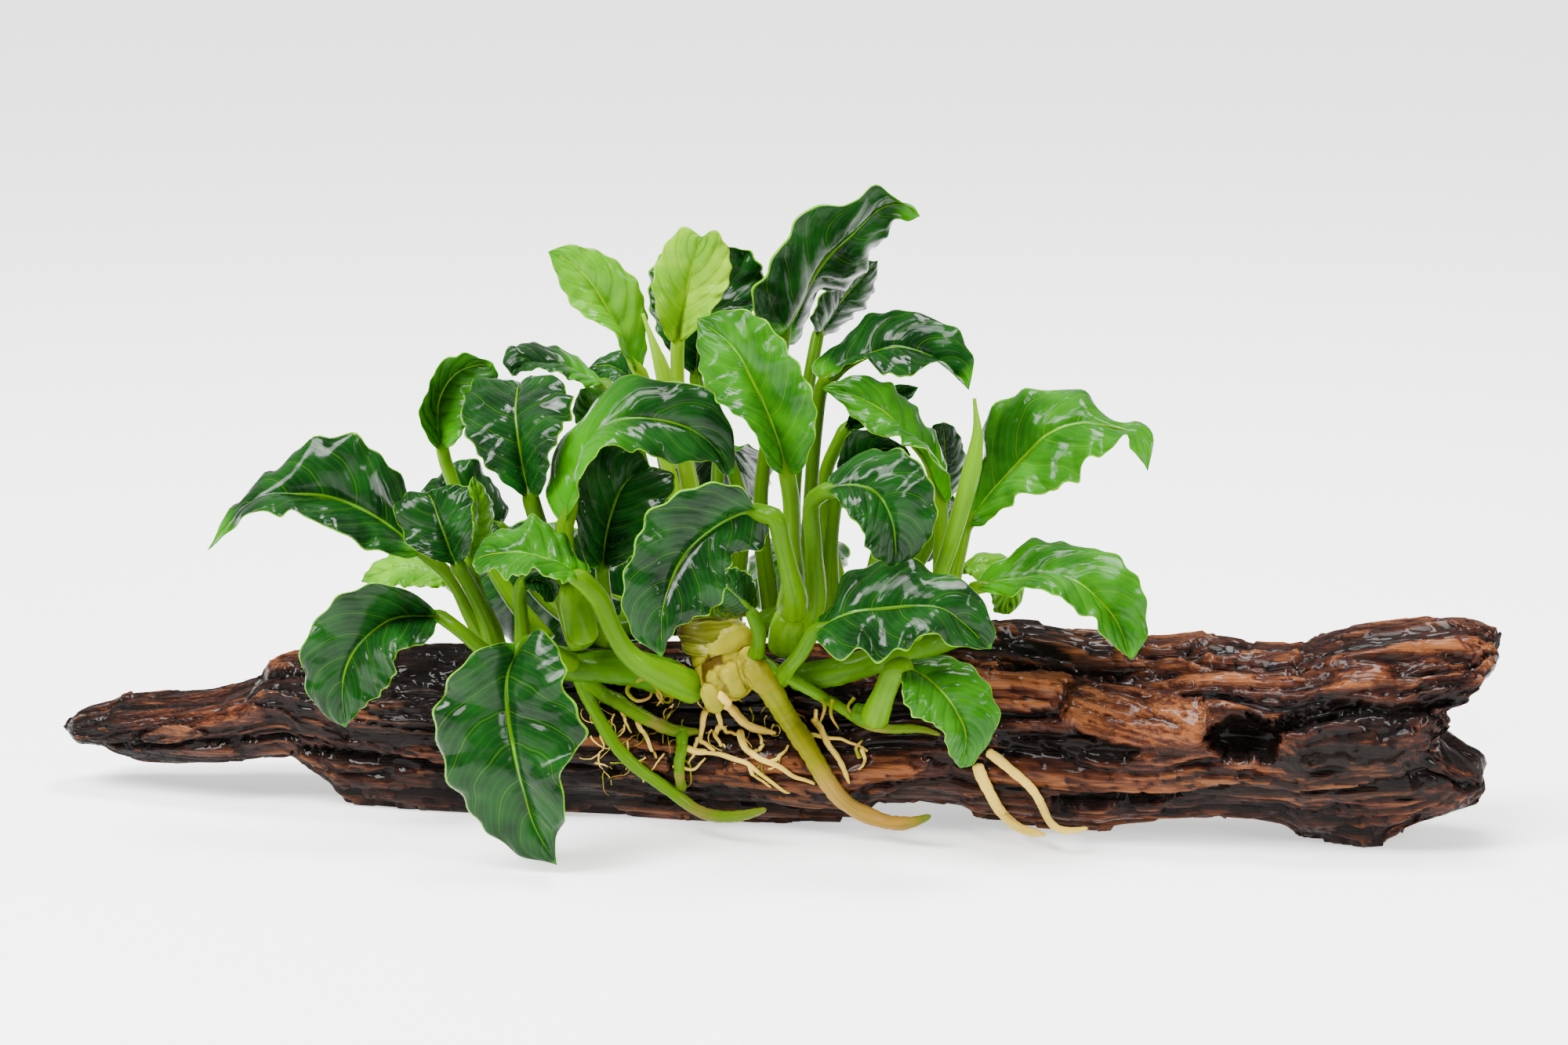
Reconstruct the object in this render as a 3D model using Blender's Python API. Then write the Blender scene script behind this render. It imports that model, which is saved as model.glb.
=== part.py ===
"""Dwarf anubias grown on a branch of driftwood.

Frame: +X along the wood to the right, +Y away from the front, +Z up. The origin is on the
flat underside of the wood. Lengths are metres unless a name ends in MM.

Places are given as the front view shows them: picture units across and down, six to the
millimetre at the middle of the object, and a depth in millimetres along +Y.
"""
import math
import random
from dataclasses import dataclass

import bmesh
import bpy
from mathutils import Matrix, Vector
from mathutils.bvhtree import BVHTree

MM = 0.001

# The front view: where it is taken from, and its scale
UNITS_PER_MM = 6.0
VIEW_CENTRE = (1000.0, 666.5)
VIEW_TURN = math.radians(9.0)
VIEW_PITCH = math.radians(12.0)
VIEW_DISTANCE = 900 * MM
VIEW_TARGET = Vector((0.0, 0.0, 64.5 * MM))

# Driving sizes
GAP = 0.3 * MM
STALK_RADIUS = 1.3 * MM
FOOT_RADIUS = 1.7 * MM
RIB_HALF_THICKNESS = 0.5 * MM
TIP_HALF_WIDTH = 0.35 * MM
EDGE_HALF_THICKNESS = 0.15 * MM
BLADE_ROWS = 10
SMALL_BLADE_ROWS = 8
SMALL_HALF_WIDTH = 8
STALK_ROWS = 4
STALK_RING = (180, 130, 90, 50, 0, 270)
BLADE_CROWN = 0.10
WOOD_SIDES = 18
WOOD_ROWS = 34
WOOD_SEED = 11
TORN_ROWS = 3
FOOT_HEIGHT = 2.4 * MM
FOOT_LINE = 1040
LEAST_LIFT = 1.2 * MM
SHARP_ANGLE = math.radians(50)

# The wood's top and bottom edges are seen a little behind and before its middle, in mm
TOP_EDGE_BACK = 2
BOTTOM_EDGE_FRONT = 4

# The knot hole: its place in the view, its size and how far its long side tilts
KNOT_PLACE = (1588, 942)
KNOT_SIZE = (15 * MM, 22 * MM, 10.5 * MM)
KNOT_TILT = math.radians(-14)
KNOT_SEGMENTS = 12
KNOT_RINGS = 8

# Ridges around the wood: height as a share of its radius, how many, and their wind along it
RIDGES = ((0.050, 3, 22.0), (0.035, 5, -35.0), (0.030, 2, 90.0))
ROUGHNESS = 0.018

# How far apart pieces are kept, which leaves a gap between their faceted skins
STEM_CLEARANCE = 1.6 * GAP
ROOT_CLEARANCE = 1.8 * GAP
STALK_CLEARANCE = 2 * GAP
PUSH_STEP = 0.02 * MM
PUSH_TRIES = 12
DEEPEST_INSIDE = 9 * MM

# How far a leaf may be moved in depth and its stalk bowed to make room, in millimetres
NEARER_CHOICES = range(-14, 15)
BOW_CHOICES = range(-8, 9, 2)
BOW_COST = 0.7
SPEAR_ROWS = 9

# The wood from left to right: across, top and bottom in the view, then the depths of its
# front and back in millimetres
WOOD_OUTLINE = (
    (90, 914, 937, -3, 5),
    (104, 904, 950, -6, 9),
    (140, 896, 957, -8, 11),
    (160, 886, 968, -9, 12),
    (207, 882, 973, -10, 14),
    (270, 876, 974, -12, 15),
    (325, 858, 971, -13, 17),
    (352, 838, 968, -14, 18),
    (385, 829, 970, -14, 18),
    (412, 828, 990, -15, 19),
    (450, 826, 1006, -15, 19),
    (511, 824, 1014, -16, 19),
    (596, 822, 1015, -16, 20),
    (700, 822, 1021, -16, 20),
    (815, 824, 1023, -16, 20),
    (914, 824, 1028, -17, 20),
    (1025, 822, 1030, -17, 20),
    (1102, 820, 1031, -17, 20),
    (1197, 808, 1034, -16, 21),
    (1268, 797, 1046, -16, 21),
    (1318, 801, 1052, -16, 21),
    (1383, 813, 1057, -16, 20),
    (1470, 821, 1053, -16, 20),
    (1544, 814, 1053, -17, 20),
    (1609, 822, 1056, -17, 20),
    (1655, 820, 1060, -18, 20),
    (1680, 812, 1070, -18, 21),
    (1726, 801, 1074, -18, 21),
    (1790, 792, 1066, -17, 21),
    (1845, 784, 1042, -15, 20),
    (1880, 794, 1014, -12, 17),
)
WOOD_FEET = ((440, 1110), (1240, 1420), (1650, 1800))

# How far the torn right end reaches past the last place, from its bottom to its top
END_REACH = (-60, -16, 8, 20, 16, -22, -42, -40, -30, -34, -12, 14, 22, 26, 18, -6)

RHIZOMES = {
    "rhizome_crown": (
        (7.6, 8.4, 6.6),
        ((893, 862, -15), (918, 842, -16), (948, 822, -14)),
    ),
    "rhizome_left": (
        (2.6, 3.2, 3.6, 3.4, 3.6),
        ((620, 838, -7), (690, 842, -12), (748, 850, -17), (806, 852, -18), (850, 864, -18)),
    ),
    "rhizome_right": (
        (3.4, 3.0, 2.8, 2.8, 2.4),
        ((1004, 868, -18), (1060, 858, -18), (1117, 843, -17), (1178, 824, -13), (1236, 808, -8)),
    ),
    "rhizome_centre_branch": (
        (3.6, 3.8, 3.4),
        ((1000, 832, -15), (1004, 806, -17), (1010, 782, -19)),
    ),
    "rhizome_back_left": (
        (3.4, 3.4, 3.2, 2.6),
        ((925, 800, -3), (890, 792, 4), (840, 794, 8), (760, 806, 9)),
    ),
    "rhizome_back_right": (
        (3.2, 3.2, 3.0, 2.6),
        ((965, 800, -3), (1000, 790, 4), (1050, 788, 8), (1120, 786, 9)),
    ),
    "rhizome_offshoot": (
        (2.0, 2.4, 2.0),
        ((1086, 906, -22), (1110, 914, -22), (1134, 918, -22)),
    ),
}

# Roots: radii in millimetres at the two ends, then the places in the view where each lies
# on the wood; a root's tip may leave the wood, and then has a depth
ROOTS = {
    "root_main": (
        (2.4, 1.4),
        ((968, 876), (995, 908), (1025, 954), (1044, 989), (1067, 1012)),
        ((1098, 1036, -14), (1132, 1042, -17), (1159, 1052, -20), (1190, 1040, -22)),
    ),
    "root_long_left": (
        (1.7, 1.2),
        ((748, 888), (770, 939), (811, 972), (861, 998), (880, 1010)),
        ((910, 1040, -20), (940, 1044, -24), (975, 1036, -29)),
    ),
    "root_left": ((1.75, 1.3), ((776, 882), (815, 904), (860, 928), (892, 940)), ()),
    "root_joining": ((1.0, 0.8), ((868, 956), (873, 992)), ()),
    "root_tan": ((1.1, 0.7), ((926, 893), (949, 920), (985, 938)), ()),
    "root_green": (
        (1.35, 0.8),
        ((1010, 872), (1044, 882), (1075, 900), (1106, 934), (1140, 938), (1178, 930), (1201, 934)),
        (),
    ),
    "root_right_near": (
        (1.35, 0.9),
        ((1244, 972), (1266, 1006), (1288, 1030)),
        ((1310, 1054, -16), (1338, 1062, -20)),
    ),
    "root_right_far": (
        (1.15, 0.7),
        ((1262, 950), (1287, 978), (1318, 1004), (1340, 1030)),
        ((1356, 1052, -17), (1384, 1056, -21)),
    ),
    "root_thin": ((0.8, 0.6), ((1054, 946), (1072, 972), (1082, 996)), ()),
}

SHEATH = ((745, 819, -25), (739, 788, -26), (728, 742, -26))
SHEATH_RADII = (3.5, 3.4, 3.0)


@dataclass(frozen=True)
class Leaf:
    """One leaf as the front view shows it.

    stalk and rib are places with depths, from the foot to the blade's base and on to its
    tip. left and right are the margins between base and tip. half_width is the blade's real
    half width in millimetres: what the view foreshortens goes into depth, towards the viewer
    where lean is -1 and away where it is 1. faces is -1 where the underside is seen.
    """

    shade: str
    half_width: float
    lean: tuple
    stalk: tuple
    rib: tuple
    left: tuple
    right: tuple
    faces: int = 1


LEAVES = {
    "leaf_front_hanging": Leaf(
        "dark", 15, (-1, -1),
        ((728, 846, -22), (704, 832, -31), (682, 818, -39)),
        ((664, 822, -42), (647, 864, -46), (648, 915, -48), (656, 956, -50), (667, 1004, -51),
         (681, 1053, -51), (711, 1104, -50)),
        ((633, 821), (601, 835), (564, 881), (555, 924), (567, 981), (594, 1030), (653, 1085)),
        ((692, 803), (723, 849), (719, 875), (747, 933), (716, 990), (724, 1036), (708, 1070)),
    ),
    "leaf_front_centre": Leaf(
        "dark", 14, (-1, 1),
        ((1012, 776, -24), (1014, 757, -31), (1007, 730, -34), (997, 690, -38), (990, 662, -41)),
        ((976, 656, -43), (951, 654, -44), (913, 671, -45), (882, 697, -46), (860, 732, -46),
         (845, 780, -46), (844, 838, -45)),
        ((965, 648), (944, 623), (905, 615), (835, 648), (804, 709), (793, 760), (806, 808)),
        ((972, 690), (948, 704), (926, 738), (905, 782), (879, 789), (862, 803), (850, 824)),
    ),
    "leaf_front_right": Leaf(
        "dark", 13, (1, -1),
        ((985, 866, -26), (1006, 849, -30), (1020, 836, -32), (1031, 818, -34)),
        ((1037, 806, -35), (1063, 791, -37), (1098, 780, -38), (1132, 775, -38),
         (1173, 773, -38), (1215, 784, -37), (1264, 828, -35)),
        ((1044, 788), (1063, 763), (1077, 735), (1108, 720), (1160, 713), (1201, 729),
         (1246, 756), (1268, 800)),
        ((1046, 822), (1074, 842), (1094, 828), (1118, 842), (1153, 832), (1180, 808),
         (1222, 825)),
    ),
    "leaf_front_arching": Leaf(
        "middle", 11, (1, -1),
        ((872, 872, -24), (828, 853, -30), (800, 832, -33), (781, 802, -35), (764, 764, -36)),
        ((741, 738, -37), (709, 716, -38), (672, 707, -38), (640, 705, -38), (614, 710, -37),
         (602, 720, -36)),
        ((752, 728), (719, 685), (686, 662), (650, 672), (618, 688)),
        ((706, 741), (678, 727), (650, 738), (628, 728), (610, 731)),
    ),
    "leaf_far_left": Leaf(
        "dark", 14, (1, -1),
        ((628, 834, -8), (614, 806, -9), (598, 780, -10), (574, 736, -12)),
        ((540, 705, -14), (489, 667, -16), (413, 632, -18), (328, 640, -20), (264, 703, -21)),
        ((532, 650), (500, 594), (453, 556), (404, 560), (355, 596), (302, 638)),
        ((515, 712), (453, 692), (399, 664), (346, 650), (300, 672)),
    ),
    "leaf_left_low": Leaf(
        "dark", 12, (-1, -1),
        ((646, 846, -16), (616, 829, -22), (586, 804, -25)),
        ((562, 786, -24), (506, 788, -28), (471, 810, -31), (448, 837, -33), (437, 873, -34),
         (441, 928, -34)),
        ((529, 757), (471, 745), (413, 777), (384, 832), (395, 886), (420, 918)),
        ((544, 819), (506, 832), (504, 860), (489, 882), (460, 905)),
    ),
    "leaf_bottom_right": Leaf(
        "middle", 10, (1, -1),
        ((1116, 914, -24), (1128, 884, -31), (1139, 858, -34)),
        ((1150, 851, -36), (1175, 859, -37), (1197, 878, -38), (1220, 908, -38),
         (1232, 939, -38), (1225, 980, -37)),
        ((1166, 840), (1205, 838), (1236, 845), (1266, 885), (1274, 908), (1266, 943),
         (1242, 972)),
        ((1150, 870), (1152, 893), (1163, 912), (1197, 928), (1211, 962)),
    ),
    "leaf_right_centre": Leaf(
        "dark", 11, (1, -1),
        ((1026, 800, -16), (1040, 762, -21), (1038, 700, -27), (1035, 645, -28)),
        ((1052, 626, -29), (1087, 619, -30), (1110, 623, -31), (1126, 639, -31),
         (1138, 665, -32), (1142, 692, -32), (1143, 722, -31)),
        ((1060, 605), (1080, 589), (1122, 573), (1165, 582), (1191, 623), (1193, 670),
         (1172, 706)),
        ((1068, 636), (1080, 655), (1099, 676), (1106, 701), (1127, 719)),
    ),
    "leaf_centre_left": Leaf(
        "dark", 12, (1, -1),
        ((726, 732, -27), (724, 716, -28), (721, 696, -29)),
        ((720, 672, -29), (727, 640, -29), (735, 600, -28), (750, 565, -27), (785, 540, -26),
         (830, 534, -26), (880, 547, -26), (915, 575, -26), (935, 608, -26)),
        ((704, 650), (696, 620), (706, 585), (726, 550), (762, 508), (809, 476), (853, 491),
         (895, 490), (927, 530), (938, 575)),
        ((728, 650), (742, 610), (760, 584), (790, 570), (825, 578), (860, 592), (903, 588),
         (922, 604)),
    ),
    "leaf_left_facing": Leaf(
        "dark", 12, (-1, -1),
        ((742, 822, -16), (712, 740, -21), (688, 672, -20)),
        ((678, 640, -19), (668, 602, -18), (661, 562, -17), (658, 524, -13), (660, 496, -5),
         (664, 488, 5)),
        ((660, 628), (630, 604), (604, 572), (590, 542), (592, 512), (602, 488), (632, 484)),
        ((694, 622), (703, 580), (722, 540), (731, 510), (712, 486), (688, 480)),
    ),
    "leaf_centre_top": Leaf(
        "middle", 12, (-1, -1),
        ((1006, 778, -16), (1012, 735, -20), (1010, 690, -21), (1009, 640, -22)),
        ((1004, 606, -23), (994, 567, -24), (976, 520, -24), (958, 482, -23), (934, 441, -21),
         (889, 406, -18)),
        ((982, 596), (957, 545), (917, 513), (895, 482), (890, 440)),
        ((1022, 600), (1038, 560), (1040, 513), (1016, 461), (981, 413), (940, 394)),
    ),
    "leaf_right_top": Leaf(
        "dark", 11, (1, -1),
        ((1030, 784, 2), (1032, 700, -1), (1036, 600, -2), (1044, 515, -1)),
        ((1050, 487, 0), (1085, 462, -1), (1117, 448, -2), (1150, 444, -3), (1195, 458, -4),
         (1236, 498, -5)),
        ((1034, 470), (1057, 450), (1092, 417), (1117, 395), (1147, 396), (1202, 410),
         (1241, 451)),
        ((1067, 476), (1099, 457), (1129, 479), (1168, 476), (1190, 461), (1216, 474)),
    ),
    "leaf_right_light": Leaf(
        "middle", 10, (1, -1),
        ((1178, 828, -11), (1196, 760, -14), (1199, 700, -14), (1201, 665, -14)),
        ((1200, 644, -14), (1185, 592, -15), (1161, 561, -16), (1130, 526, -16),
         (1087, 504, -16), (1048, 495, -16)),
        ((1207, 610), (1191, 554), (1158, 509), (1112, 481), (1078, 481)),
        ((1215, 632), (1206, 604), (1182, 576), (1147, 564), (1108, 549), (1076, 518)),
    ),
    "leaf_big_right": Leaf(
        "middle", 14, (1, -1),
        ((1204, 818, -8), (1217, 740, 0), (1226, 696, 3)),
        ((1231, 672, 4), (1257, 639, 5), (1282, 608, 5), (1308, 580, 5), (1338, 554, 4),
         (1384, 540, 3), (1428, 546, 2), (1454, 558, 1), (1464, 602, 0)),
        ((1234, 645), (1254, 588), (1256, 542), (1290, 498), (1326, 498), (1383, 496),
         (1398, 528), (1430, 539), (1454, 538), (1473, 566)),
        ((1262, 666), (1292, 636), (1340, 628), (1368, 616), (1386, 588), (1420, 570),
         (1436, 560), (1450, 582)),
    ),
    "leaf_right_low": Leaf(
        "middle", 12, (1, -1),
        ((1224, 812, -12), (1230, 788, -14), (1236, 764, -14)),
        ((1243, 750, -13), (1275, 742, -13), (1305, 738, -13), (1338, 733, -14),
         (1371, 743, -15), (1397, 761, -16), (1424, 792, -17), (1443, 842, -18)),
        ((1252, 733), (1290, 706), (1330, 687), (1374, 696), (1410, 701), (1450, 737),
         (1465, 789), (1458, 822)),
        ((1262, 757), (1300, 756), (1336, 754), (1360, 772), (1394, 788), (1402, 808),
         (1424, 826)),
    ),
    "leaf_left_small_dark": Leaf(
        "dark", 9, (-1, -1),
        ((634, 837, -13), (623, 795, -15), (600, 748, -20)),
        ((585, 724, -23), (573, 699, -24), (562, 668, -25), (552, 640, -24), (545, 628, -20)),
        ((556, 714), (524, 699), (511, 676), (502, 648), (520, 630)),
        ((600, 700), (604, 660), (598, 622), (572, 620)),
    ),
    "leaf_left_small_bright": Leaf(
        "bright", 7, (-1, 1),
        ((640, 838, -9), (622, 790, -15), (605, 742, -18)),
        ((599, 716, -18), (606, 682, -18), (611, 645, -18), (603, 607, -17)),
        ((590, 690), (594, 650), (596, 622)),
        ((624, 690), (630, 655), (618, 623)),
    ),
    "leaf_left_back_up": Leaf(
        "bright", 9, (-1, -1),
        ((698, 818, 2), (648, 756, 5), (600, 670, 7), (572, 600, 8)),
        ((565, 576, 8), (558, 540, 9), (562, 505, 9), (580, 474, 8), (612, 460, 7)),
        ((550, 566), (534, 530), (544, 500), (561, 464), (585, 451)),
        ((584, 562), (600, 532), (616, 502), (626, 476)),
    ),
    "leaf_back_left_arching": Leaf(
        "dark", 9, (1, -1),
        ((850, 796, 6), (840, 680, 10), (800, 530, 13)),
        ((772, 490, 14), (735, 474, 13), (705, 466, 11), (674, 463, 8), (653, 480, 6)),
        ((756, 474), (724, 450), (700, 440), (667, 438), (640, 456)),
        ((754, 494), (726, 482), (700, 474), (680, 470), (662, 478)),
    ),
    "leaf_top_young": Leaf(
        "young", 9, (-1, 1),
        ((888, 794, 2), (868, 660, 2), (836, 540, 3)),
        ((818, 477, 3), (795, 434, 2), (775, 394, 1), (754, 361, 0), (729, 336, -1),
         (699, 321, -2)),
        ((806, 470), (782, 425), (744, 403), (720, 375), (706, 341)),
        ((824, 440), (823, 380), (799, 345), (768, 322), (726, 312)),
    ),
    "leaf_top_bright": Leaf(
        "young", 9, (-1, -1),
        ((930, 796, 4), (892, 660, 6), (868, 540, 7), (864, 470, 8)),
        ((864, 440, 8), (872, 395, 8), (880, 350, 7), (895, 302, 5)),
        ((850, 430), (838, 400), (832, 360), (840, 328), (858, 300), (876, 289)),
        ((882, 427), (906, 400), (928, 365), (932, 330), (914, 294)),
    ),
    "leaf_top_large": Leaf(
        "dark", 14, (-1, 1),
        ((985, 794, 6), (970, 650, 12), (985, 520, 15)),
        ((998, 440, 17), (1008, 414, 17), (1029, 372, 16), (1050, 338, 15), (1084, 300, 13),
         (1126, 265, 11), (1160, 262, 9), (1174, 276, 8)),
        ((985, 426), (960, 393), (974, 340), (1000, 312), (1022, 272), (1052, 264),
         (1090, 252), (1118, 238), (1152, 256)),
        ((1012, 437), (1028, 414), (1040, 378), (1090, 360), (1109, 330), (1130, 304),
         (1140, 284), (1162, 280)),
    ),
    "leaf_top_dark_back": Leaf(
        "dark", 12, (-1, -1),
        ((935, 792, 9), (945, 640, 18), (900, 530, 25)),
        ((887, 482, 27), (892, 435, 28), (900, 385, 28), (908, 345, 27), (918, 316, 25)),
        ((862, 460), (838, 420), (826, 372), (838, 330), (875, 312)),
        ((914, 466), (950, 420), (972, 370), (970, 336), (945, 315)),
    ),
    "leaf_top_back_right": Leaf(
        "dark", 9, (-1, 1),
        ((1020, 788, 8), (1012, 640, 18), (1030, 500, 26)),
        ((1042, 432, 29), (1065, 395, 30), (1092, 362, 31), (1120, 332, 31)),
        ((1036, 405), (1052, 365), (1080, 334)),
        ((1062, 424), (1096, 398), (1116, 366)),
    ),
    "leaf_right_dark_back": Leaf(
        "dark", 8, (-1, -1),
        ((1060, 790, 4), (1060, 700, -2), (1066, 640, -5)),
        ((1074, 612, -6), (1096, 588, -6), (1128, 572, -6), (1162, 580, -6)),
        ((1068, 590), (1085, 550), (1119, 553), (1152, 568)),
        ((1092, 610), (1120, 600), (1150, 594)),
    ),
    "leaf_right_sliver": Leaf(
        "dark", 7, (-1, 1),
        ((1110, 787, 6), (1170, 720, 14)),
        ((1204, 645, 18), (1206, 605, 19), (1205, 570, 19), (1203, 538, 18)),
        ((1188, 625), (1180, 580), (1188, 546)),
        ((1224, 620), (1232, 580), (1218, 546)),
    ),
    "leaf_right_back_low": Leaf(
        "bright", 7, (1, -1),
        ((1124, 786, 10), (1180, 750, 18)),
        ((1226, 724, 20), (1258, 722, 21), (1284, 744, 22), (1287, 784, 22)),
        ((1246, 706), (1282, 710), (1306, 745), (1300, 772)),
        ((1240, 736), (1262, 755), (1268, 780)),
    ),
    "leaf_centre_small": Leaf(
        "dark", 7, (1, 1),
        ((938, 868, -24), (962, 838, -28), (968, 808, -29)),
        ((960, 784, -30), (948, 768, -31), (930, 752, -32), (912, 740, -32)),
        ((967, 766), (958, 735), (932, 724)),
        ((944, 788), (924, 786), (906, 762)),
    ),
    "leaf_left_inner": Leaf(
        "dark", 12, (-1, -1),
        ((772, 822, -12), (775, 790, -14), (770, 752, -14)),
        ((768, 728, -14), (772, 690, -14), (780, 655, -13), (790, 628, -11), (806, 608, -9),
         (830, 595, -6)),
        ((752, 722), (738, 690), (734, 645), (742, 600), (768, 566), (806, 568)),
        ((788, 712), (820, 668), (846, 634), (858, 606)),
    ),
    "leaf_back_left_low": Leaf(
        "dark", 10, (1, -1),
        ((752, 806, 12), (690, 760, 14), (654, 705, 14)),
        ((640, 674, 14), (610, 647, 15), (575, 633, 16), (532, 632, 17)),
        ((646, 645), (612, 592), (590, 586), (556, 606)),
        ((626, 682), (590, 668), (555, 652)),
    ),
    "leaf_left_lowest_back": Leaf(
        "bright", 7, (1, -1),
        ((622, 832, -4), (624, 802, 4), (602, 768, 15)),
        ((572, 742, 20), (540, 728, 21), (500, 726, 22), (460, 742, 23)),
        ((558, 722), (515, 704), (478, 718)),
        ((560, 750), (525, 748), (490, 748)),
    ),
    "leaf_back_sliver_left": Leaf(
        "middle", 7, (-1, -1),
        ((800, 802, 12), (815, 700, 17)),
        ((800, 600, 20), (774, 548, 22), (754, 516, 22), (740, 496, 21)),
        ((776, 585), (744, 550), (730, 526)),
        ((800, 565), (778, 512), (762, 494)),
    ),
    "leaf_back_sliver_top": Leaf(
        "dark", 6, (1, -1),
        ((866, 794, 10), (858, 650, 20)),
        ((832, 520, 25), (806, 486, 26), (778, 466, 26), (750, 470, 26)),
        ((826, 486), (796, 448), (766, 456)),
        ((816, 512), (784, 488), (760, 482)),
    ),
    "leaf_small_curled": Leaf(
        "dark", 5, (-1, -1),
        ((668, 836, -18), (666, 800, -20), (663, 760, -21)),
        ((666, 744, -21), (686, 740, -22), (702, 748, -23), (706, 768, -23)),
        ((676, 730), (698, 730), (714, 748)),
        ((676, 752), (688, 758), (696, 768)),
    ),
    "leaf_back_right_bit": Leaf(
        "dark", 6, (-1, -1),
        ((1082, 787, 9), (1056, 690, 12), (1052, 610, 14)),
        ((1076, 550, 15), (1102, 522, 16), (1138, 502, 17), (1172, 494, 17)),
        ((1086, 526), (1116, 502), (1148, 490)),
        ((1096, 548), (1130, 530), (1160, 510)),
    ),
    "leaf_behind_left": Leaf(
        "dark", 13, (1, -1),
        ((812, 800, 12), (808, 788, 18)),
        ((800, 772, 25), (756, 752, 30), (716, 740, 36), (676, 730, 41), (640, 728, 46),
         (604, 742, 51)),
        ((794, 700), (742, 676), (690, 664), (640, 672), (612, 700)),
        ((792, 822), (744, 832), (690, 828), (640, 814), (612, 786)),
    ),
    "leaf_behind_centre_left": Leaf(
        "dark", 14, (-1, -1),
        ((905, 792, 8), (912, 690, 20), (916, 600, 28)),
        ((918, 572, 32), (920, 556, 42), (918, 566, 56), (912, 606, 66), (904, 662, 70)),
        ((878, 576), (850, 590), (846, 622), (870, 660)),
        ((964, 574), (986, 588), (976, 626), (940, 664)),
    ),
    "leaf_behind_centre_right": Leaf(
        "middle", 12, (-1, -1),
        ((1040, 790, 10), (1032, 735, 24), (1024, 700, 34)),
        ((1022, 684, 38), (1020, 680, 50), (1014, 704, 62), (1006, 748, 68), (1000, 796, 69)),
        ((980, 690), (956, 706), (954, 744), (974, 786)),
        ((1064, 688), (1084, 704), (1072, 740), (1038, 782)),
    ),
    "leaf_behind_right": Leaf(
        "dark", 13, (-1, -1),
        ((1100, 787, 12), (1118, 710, 22), (1130, 650, 28)),
        ((1136, 628, 31), (1150, 618, 40), (1168, 628, 51), (1184, 662, 58), (1194, 712, 60)),
        ((1110, 650), (1104, 670), (1132, 700), (1168, 720)),
        ((1178, 610), (1212, 622), (1232, 660), (1222, 704)),
    ),
}

SPEARS = {
    "spear_left": ((906, 796, -2), (884, 650, -5), (850, 492, -6), (820, 400, -7)),
    "spear_right": (
        (1160, 834, -13), (1200, 730, -16), (1228, 640, -17), (1246, 565, -16), (1243, 508, -15),
    ),
}
SPEAR_RADII = (1.3, 1.6, 1.7, 1.9, 0.4)

COLOURS = {
    "dark": (0.022, 0.075, 0.016),
    "middle": (0.055, 0.16, 0.02),
    "bright": (0.13, 0.32, 0.03),
    "young": (0.32, 0.48, 0.03),
    "rhizome": (0.16, 0.26, 0.05),
    "crown": (0.42, 0.30, 0.17),
    "root": (0.30, 0.24, 0.10),
    "wood": (0.13, 0.055, 0.028),
}
WOOD_ROUGHNESS = 0.75
LEAF_ROUGHNESS = 0.3
STEM_ROUGHNESS = 0.5


def seen(place):
    """The point at a place in the front view, on the vertical plane at its depth."""
    across, down, depth = place
    back = Vector((
        math.sin(VIEW_TURN) * math.cos(VIEW_PITCH),
        -math.cos(VIEW_TURN) * math.cos(VIEW_PITCH),
        math.sin(VIEW_PITCH),
    ))
    right = Vector((math.cos(VIEW_TURN), math.sin(VIEW_TURN), 0.0))
    up = back.cross(right)
    eye = VIEW_TARGET + back * VIEW_DISTANCE
    scale = MM / UNITS_PER_MM
    on_plane = VIEW_TARGET + right * (across - VIEW_CENTRE[0]) * scale
    on_plane += up * (VIEW_CENTRE[1] - down) * scale
    ray = on_plane - eye
    return eye + ray * ((depth * MM - eye.y) / ray.y)


def on_surface(tree, across, down):
    """Where the line of sight through a place in the view meets a surface."""
    near = seen((across, down, -300.0))
    far = seen((across, down, 0.0))
    return tree.ray_cast(near, (far - near).normalized())


def smooth_through(points, steps=10):
    """Points along a smooth curve through the given ones."""
    points = [Vector(point) for point in points]
    ends = [2 * points[0] - points[1]] + points + [2 * points[-1] - points[-2]]
    curve = []
    for a, b, c, d in zip(ends, ends[1:], ends[2:], ends[3:]):
        for step in range(steps):
            t = step / steps
            curve.append(0.5 * (
                2 * b + (c - a) * t + (2 * a - 5 * b + 4 * c - d) * t ** 2
                + (3 * b - a - 3 * c + d) * t ** 3
            ))
    curve.append(points[-1])
    return curve


def evenly(points, count):
    """The given number of points, evenly spaced along a line through the given ones."""
    lengths = [0.0]
    for a, b in zip(points, points[1:]):
        lengths.append(lengths[-1] + (b - a).length)
    spaced = []
    span = 0
    for index in range(count):
        at = lengths[-1] * index / (count - 1)
        while span < len(points) - 2 and lengths[span + 1] < at:
            span += 1
        part = (at - lengths[span]) / max(lengths[span + 1] - lengths[span], 1e-9)
        spaced.append(points[span].lerp(points[span + 1], min(part, 1.0)))
    return spaced


def smooth_step(low, high, value):
    """Rises smoothly from 0 at low to 1 at high."""
    part = min(max((value - low) / (high - low), 0.0), 1.0)
    return part * part * (3 - 2 * part)


def value_along(values, part):
    """The value at a part of the way along a row of values."""
    at = min(max(part, 0.0), 1.0) * (len(values) - 1)
    index = min(int(at), len(values) - 2)
    return values[index] + (values[index + 1] - values[index]) * (at - index)


def to_millimetres(place):
    """A place in the view with its depth, all in millimetres."""
    depth = place[2] if len(place) > 2 else 0.0
    return Vector((place[0] / UNITS_PER_MM, place[1] / UNITS_PER_MM, depth))


def to_point(place):
    """The point at a place given in millimetres across, down and deep."""
    return seen((place.x * UNITS_PER_MM, place.y * UNITS_PER_MM, place.z))


def blade_fullness(part):
    """A blade's half width at a part of its length, as a share of its greatest."""
    return math.sin(math.pi * part ** 0.72) ** 0.75


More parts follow.
